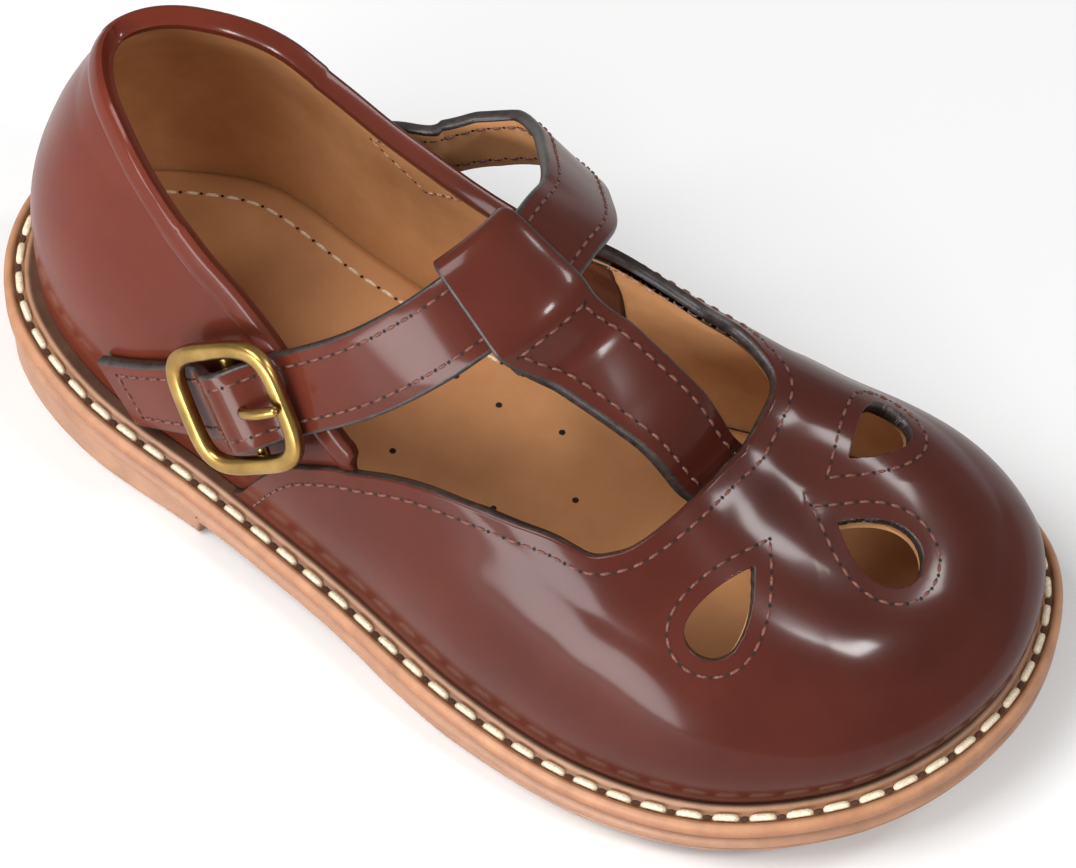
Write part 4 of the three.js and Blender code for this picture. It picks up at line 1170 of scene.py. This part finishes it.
strap_frames = strap_route()
strap = bmesh.new()
section = band_section(STRAP_WIDTH, STRAP_THICKNESS, 0.5)
strap_paint = side_materials(section, STRAP_WIDTH)
under_side = (section + np.roll(section, -1, 0))[:, 1] < -0.9 * STRAP_THICKNESS
strap_paint = [2 if low and mark == 0 else mark for low, mark in zip(under_side, strap_paint)]
sweep(strap, strap_frames, section, strap_paint, cap_material=PAINTED)
piece("strap", strap, [leather, edge_paint, lining_leather], ["ankle_strap"], sharp=50)


def sewn(points, outs):
    """Stitches along a dense path with its outward directions."""
    spots = evenly(points, STITCH_PITCH)
    nearest = [int(np.argmin(np.linalg.norm(points - spot, axis=1))) for spot in spots]
    stitch_row(upper_threads, upper_hole_shade, spots, outs[nearest])


# Rows along both edges of the strap, on top and under its inner half, and across its free end
TOP_ROW = slice(6, 252)
UNDER_ROW = slice(130, 246)
strap_row = STRAP_WIDTH / 2 - STRAP_STITCH_INSET
for offset in (-strap_row, strap_row):
    centres, _, across, out = strap_frames
    middle, rise = centres + across * offset, out * STRAP_THICKNESS / 2
    sewn((middle + rise)[TOP_ROW], out[TOP_ROW])
    sewn((middle - rise)[UNDER_ROW], -out[UNDER_ROW])
centres, _, across, out = (part[TOP_ROW.start] for part in strap_frames)
ends = np.linspace(-strap_row, strap_row, 20)[:, None]
sewn(centres + across * ends + out * STRAP_THICKNESS / 2, np.repeat(out[None], 20, 0))

# T-bar: strip from under the vamp, under the strap, folded over it and sewn down

def ridge_point(x, lift):
    """Place lifted off the last's middle line."""
    share = np.clip((x - RIDGE_START) / (RIDGE_END - RIDGE_START), 0, 1)
    point = last(LATERAL, station_of(share), 1.0)
    step = 0.01
    at = x / SHOE_LENGTH
    slope = INSTEP_HEIGHT * (ridge_height(at + step) - ridge_height(at - step)) / (2 * step * SHOE_LENGTH)
    normal = unit(np.stack([-slope, np.ones_like(slope)], -1))
    return np.stack([point[..., 0] + normal[..., 0] * lift, middle_line(x),
                     point[..., 2] + normal[..., 1] * lift], -1)


# Sleeve round the strap: its own section plane is (u, v), towards the toe and outwards
loop_index = round((len(strap_frames[0]) - 1) * LOOP_ROW / (len(STRAP_ROWS) - 1))
strap_centres, strap_alongs, strap_acrosses, strap_outs = strap_frames
strap_run = np.concatenate([[0], np.cumsum(np.linalg.norm(np.diff(strap_centres, axis=0), axis=1))])
strap_run -= strap_run[loop_index]
toeward = math.copysign(1, strap_acrosses[loop_index][0])
loop_centre = strap_centres[loop_index][[0, 2]]
loop_along = unit(np.array([toeward, toeward]) * strap_acrosses[loop_index][[0, 2]])
loop_up = np.array([-loop_along[1], loop_along[0]])
loop_turn = strap_alongs[loop_index] / strap_alongs[loop_index][1]


def t_bar_line(x):
    """Middle of the T-bar seen from above; it leans towards the outer side."""
    return -0.6 - 0.18 * (THROAT_X - x)


def in_loop(u, v, w):
    """Place in the strap's own frames, w along the strap from the loop's middle."""
    def at_run(rows):
        return np.stack([np.interp(w, strap_run, rows[:, k]) for k in range(3)], -1)
    return (at_run(strap_centres) + toeward * at_run(strap_acrosses) * u[..., None]
            + at_run(strap_outs) * v[..., None])


def t_bar_surface(flat, w):
    """From side view (x, z) and distance w across to the shoe; sleeve at the loop, crowned strip beyond."""
    local = flat - loop_centre
    u, v = local @ loop_along, local @ loop_up
    in_sleeve = in_loop(u, v, w)
    x, z = flat[..., 0], flat[..., 1]
    turn = np.clip((THROAT_X - x) / (THROAT_X - loop_centre[0] - 9), 0, 1)
    strip = np.stack([x + loop_turn[0] * turn * w, t_bar_line(x) + w,
                      z + loop_turn[2] * turn * w - w**2 / 52], -1)
    share = np.clip((u - SLOT_HALF - 0.6) / 8, 0, 1)
    share = (share * share * (3 - 2 * share))[..., None]
    return in_sleeve * (1 - share) + strip * share


SLOT_HALF = STRAP_WIDTH / 2 + CLEARANCE
half_bar = T_BAR_THICKNESS / 2
under_vamp = -UPPER_WALL - CLEARANCE - half_bar
T_BAR_RIDGE = [(0.757, under_vamp), (0.733, under_vamp), (0.711, under_vamp), (0.688, half_bar - 1.8),
               (0.668, half_bar - 0.5), (0.64, half_bar - 0.1), (0.604, half_bar), (0.588, half_bar)]
T_BAR_LOOP = [(10.2, -0.2), (8.4, 0.8), (7.0, 1.6), (5.4, 1.95), (0, 1.98), (-5.6, 1.95), (-6.7, 1.6),
              (-7.25, 0.8), (-7.3, -0.4), (-6.7, -1.5), (-5.6, -1.93), (0, -1.95), (5.4, -1.95),
              (8.4, -2.0), (10.4, -2.0)]
bar_nodes = [ridge_point(at * SHOE_LENGTH, lift)[[0, 2]] for at, lift in T_BAR_RIDGE]
bar_nodes += [loop_centre + u * loop_along + v * loop_up for u, v in T_BAR_LOOP]
bar_steps = 300
bar_path = catmull(bar_nodes, bar_steps)
bar_run = np.concatenate([[0], np.cumsum(np.linalg.norm(np.diff(bar_path, axis=0), axis=1))])
even_run = np.linspace(0, bar_run[-1], bar_steps + 1)
bar_path = np.stack([np.interp(even_run, bar_run, bar_path[:, k]) for k in range(2)], -1)
bar_along = unit(np.gradient(bar_path, axis=0))
bar_out = np.stack([bar_along[:, 1], -bar_along[:, 0]], -1)
taper = np.clip((bar_path[:, 0] - loop_centre[0] - 8) / (THROAT_X - loop_centre[0] - 8), 0, 1)
bar_width = LOOP_WIDTH - 0.4 + (T_BAR_WIDTH - LOOP_WIDTH) * taper
BAR_CORNER = 0.4
BAR_FLAT_STEPS = 8
bar_points = []
for k in range(bar_steps + 1):
    shape = band_section(bar_width[k], T_BAR_THICKNESS, BAR_CORNER, BAR_FLAT_STEPS)
    shape[:, 0] *= -1
    flat = bar_path[k] + bar_out[k] * shape[:, 1:]
    bar_points.append(t_bar_surface(flat, shape[:, 0]))
bar_points = np.array(bar_points)
t_bar = bmesh.new()
bar_verts = [[t_bar.verts.new(place(p)) for p in row] for row in bar_points]
size = bar_points.shape[1]
bar_paint = side_materials(band_section(LOOP_WIDTH, T_BAR_THICKNESS, BAR_CORNER, BAR_FLAT_STEPS), LOOP_WIDTH)
for row, following in zip(bar_verts, bar_verts[1:]):
    for i in range(size):
        j = (i + 1) % size
        face = t_bar.faces.new((row[i], row[j], following[j], following[i]))
        face.material_index = bar_paint[i]
t_bar.faces.new(bar_verts[0][::-1]).material_index = PAINTED
t_bar.faces.new(bar_verts[-1]).material_index = PAINTED
bmesh.ops.recalc_face_normals(t_bar, faces=t_bar.faces)
piece("t_strap", t_bar, [leather, edge_paint], ["t_bar"], sharp=50)


def t_bar_row(first, end, aside_at):
    """Path on the T-bar's outer face between two places along it, with its outward directions."""
    ks = np.arange(first, end)
    flat = bar_path[ks] + bar_out[ks] * half_bar
    aside = aside_at(ks)
    spots = t_bar_surface(flat, aside)
    raised = t_bar_surface(flat + bar_out[ks], aside)
    return spots, unit(raised - spots)


# Rows along both edges of the T-bar from the vamp to the loop, and across it below the loop
crossing = loop_centre + 8.2 * loop_along + 0.9 * loop_up
loop_edge = int(np.argmin(np.linalg.norm(bar_path[:200] - crossing, axis=1)))
vamp_under = int(np.argmax(bar_path[:, 0] < THROAT_X - 0.5))
for hand in (-1, 1):
    sewn(*t_bar_row(vamp_under, loop_edge, lambda ks: hand * (bar_width[ks] / 2 - STRAP_STITCH_INSET)))
cross_w = np.linspace(-LOOP_WIDTH / 2 + 1.9, LOOP_WIDTH / 2 - 1.9, 30)
cross_flat = np.repeat((bar_path[loop_edge] + bar_out[loop_edge] * half_bar)[None], 30, 0)
cross = t_bar_surface(cross_flat, cross_w)
sewn(cross, unit(t_bar_surface(cross_flat + bar_out[loop_edge], cross_w) - cross))

# Buckle: brass ring, centre bar and prong
buckle = bmesh.new()
half_long = (BUCKLE_LENGTH - BUCKLE_BAR) / 2
half_wide = (BUCKLE_WIDTH - BUCKLE_BAR) / 2
angles = 2 * np.pi * np.arange(96) / 96
cosine, sine = np.cos(angles), np.sin(angles)
ring_x = half_long * np.sign(cosine) * np.abs(cosine) ** 0.5
ring_y = half_wide * np.sign(sine) * np.abs(sine) ** 0.5
ring_path = evenly(np.stack([ring_x, ring_y, np.full(96, buckle_lift)], -1), 0.7, closed=True)
ring_centres = in_buckle(ring_path)
ring_frames = frames_along(ring_centres, np.repeat(buckle_out[None], len(ring_centres), 0), closed=True)
angles = 2 * np.pi * np.arange(20) / 20
cosine, sine = np.cos(angles), np.sin(angles)
flat_round = np.stack([np.sign(cosine) * np.abs(cosine) ** 0.75 * BUCKLE_BAR / 2,
                       np.sign(sine) * np.abs(sine) ** 0.75 * BUCKLE_BAR * 0.42], -1)
sweep(buckle, ring_frames, flat_round, closed_path=True)
bar_ends = in_buckle(np.array([[0, y, centre_bar_lift] for y in np.linspace(-half_wide, half_wide, 12)]))
sweep(buckle, frames_along(bar_ends, np.repeat(buckle_out[None], 12, 0)), round_section(CENTRE_BAR, 14))
bmesh.ops.recalc_face_normals(buckle, faces=buckle.faces)
piece("buckle", buckle, [brass], ["buckle_frame"], sharp=60)

prong = bmesh.new()
prong_seat = buckle_lift + (BUCKLE_BAR + PRONG_DIAMETER) / 2 + CLEARANCE
prong_points = [
    (CENTRE_BAR / 2 + CLEARANCE + PRONG_DIAMETER / 2, 0, centre_bar_lift),
    (0.3 * BUCKLE_LENGTH / 2, 0, strap_over_bar),
    (0.54 * BUCKLE_LENGTH / 2, 0, prong_seat + BUCKLE_EASE - 0.2),
    (0.8 * BUCKLE_LENGTH / 2, 0, prong_seat - 0.1),
    (0.97 * BUCKLE_LENGTH / 2, 0, prong_seat - 0.5)]
prong_path = catmull(in_buckle(prong_points), 40)
taper = np.interp(np.arange(41), [0, 30, 37, 40], [1, 1, 0.9, 0.45])[:, None, None]
sweep(prong, frames_along(prong_path, np.repeat(buckle_out[None], 41, 0)),
      round_section(PRONG_DIAMETER, 14)[None] * taper)
bmesh.ops.recalc_face_normals(prong, faces=prong.faces)
piece("prong", prong, [brass], ["buckle_prong"], sharp=60)

# Stitches of the upper, joined by kind
piece("upper_stitches", upper_threads, [thread_dark], merge=False)
# Dark discs of painted shade at the upper's stitch holes
piece("upper_stitch_hole_shade", upper_hole_shade, [hole_painted_shade], merge=False)

tab_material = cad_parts["buckle_tab"].data.materials
tab_material.clear()
tab_material.append(edge_paint)


# Camera, lights and floor

# Camera fitted to the photograph: angles in degrees, place in mm, lens and picture width in pixels
CAMERA_ANGLES = (31.717, 55.415, 2.793)
CAMERA_OFFSET = (4.869, 1.485, 632.382)
FOCAL_PIXELS = 4500
PICTURE_WIDTH = 1076
SENSOR_WIDTH = 36


def unit_axes(azimuth, elevation, roll):
    """Right, up and backward directions of a camera."""
    a, e, r = (math.radians(v) for v in (azimuth, elevation, roll))
    back = Vector((math.sin(a) * math.cos(e), -math.cos(a) * math.cos(e), math.sin(e)))
    level = Vector((math.cos(a), math.sin(a), 0))
    up = back.cross(level)
    right = math.cos(r) * level + math.sin(r) * up
    return right, -math.sin(r) * level + math.cos(r) * up, back


def add_camera():
    right, up, back = unit_axes(*CAMERA_ANGLES)
    target = Vector((SHOE_LENGTH / 2, 0, 16))
    spot = target + CAMERA_OFFSET[0] * right + CAMERA_OFFSET[1] * up + CAMERA_OFFSET[2] * back
    camera_data = bpy.data.cameras.new("camera")
    camera_data.sensor_width = SENSOR_WIDTH
    camera_data.lens = FOCAL_PIXELS / PICTURE_WIDTH * SENSOR_WIDTH
    camera_data.clip_end = 20
    camera = bpy.data.objects.new("camera", camera_data)
    turn = Matrix((right, up, back)).transposed().to_4x4()
    camera.matrix_world = Matrix.Translation(Vector(place(spot))) @ turn
    bpy.context.scene.collection.objects.link(camera)
    bpy.context.scene.camera = camera


def add_light(name, spot, target, size, energy):
    """Adds a white rectangular lamp that looks at its target."""
    data = bpy.data.lights.new(name, "AREA")
    data.shape = "RECTANGLE"
    data.size, data.size_y = size
    data.energy = energy
    light = bpy.data.objects.new(name, data)
    light.location = spot
    light.rotation_euler = (Vector(target) - Vector(spot)).to_track_quat("-Z", "Y").to_euler()
    bpy.context.scene.collection.objects.link(light)


def add_floor():
    bm = bmesh.new()
    bmesh.ops.create_grid(bm, x_segments=8, y_segments=8, size=3)
    mesh = bpy.data.meshes.new("floor")
    bm.to_mesh(mesh)
    bm.free()
    mesh.materials.append(plain("pale_floor", "#dedede", 0.6))
    floor = bpy.data.objects.new("floor", mesh)
    bpy.context.scene.collection.objects.link(floor)


add_camera()
add_floor()
add_light("key", (-0.36, -0.52, 1.0), (0, 0, 0.02), (0.6, 0.6), 12)
add_light("front", (-0.05, -0.95, 0.2), (0, 0, 0.03), (0.75, 0.3), 10)
add_light("toe", (0.72, 0.0, 0.82), (0.03, 0, 0.03), (0.16, 0.1), 3)
add_light("inner", (0.5, 0.52, 0.72), (0.02, 0, 0.03), (0.16, 0.1), 1.6)
world = bpy.data.worlds.new("studio")
world.use_nodes = True
world.node_tree.nodes["Background"].inputs["Color"].default_value = linear("#ffffff")
world.node_tree.nodes["Background"].inputs["Strength"].default_value = 0.4
bpy.context.scene.world = world
bpy.context.scene.view_settings.view_transform = "Standard"
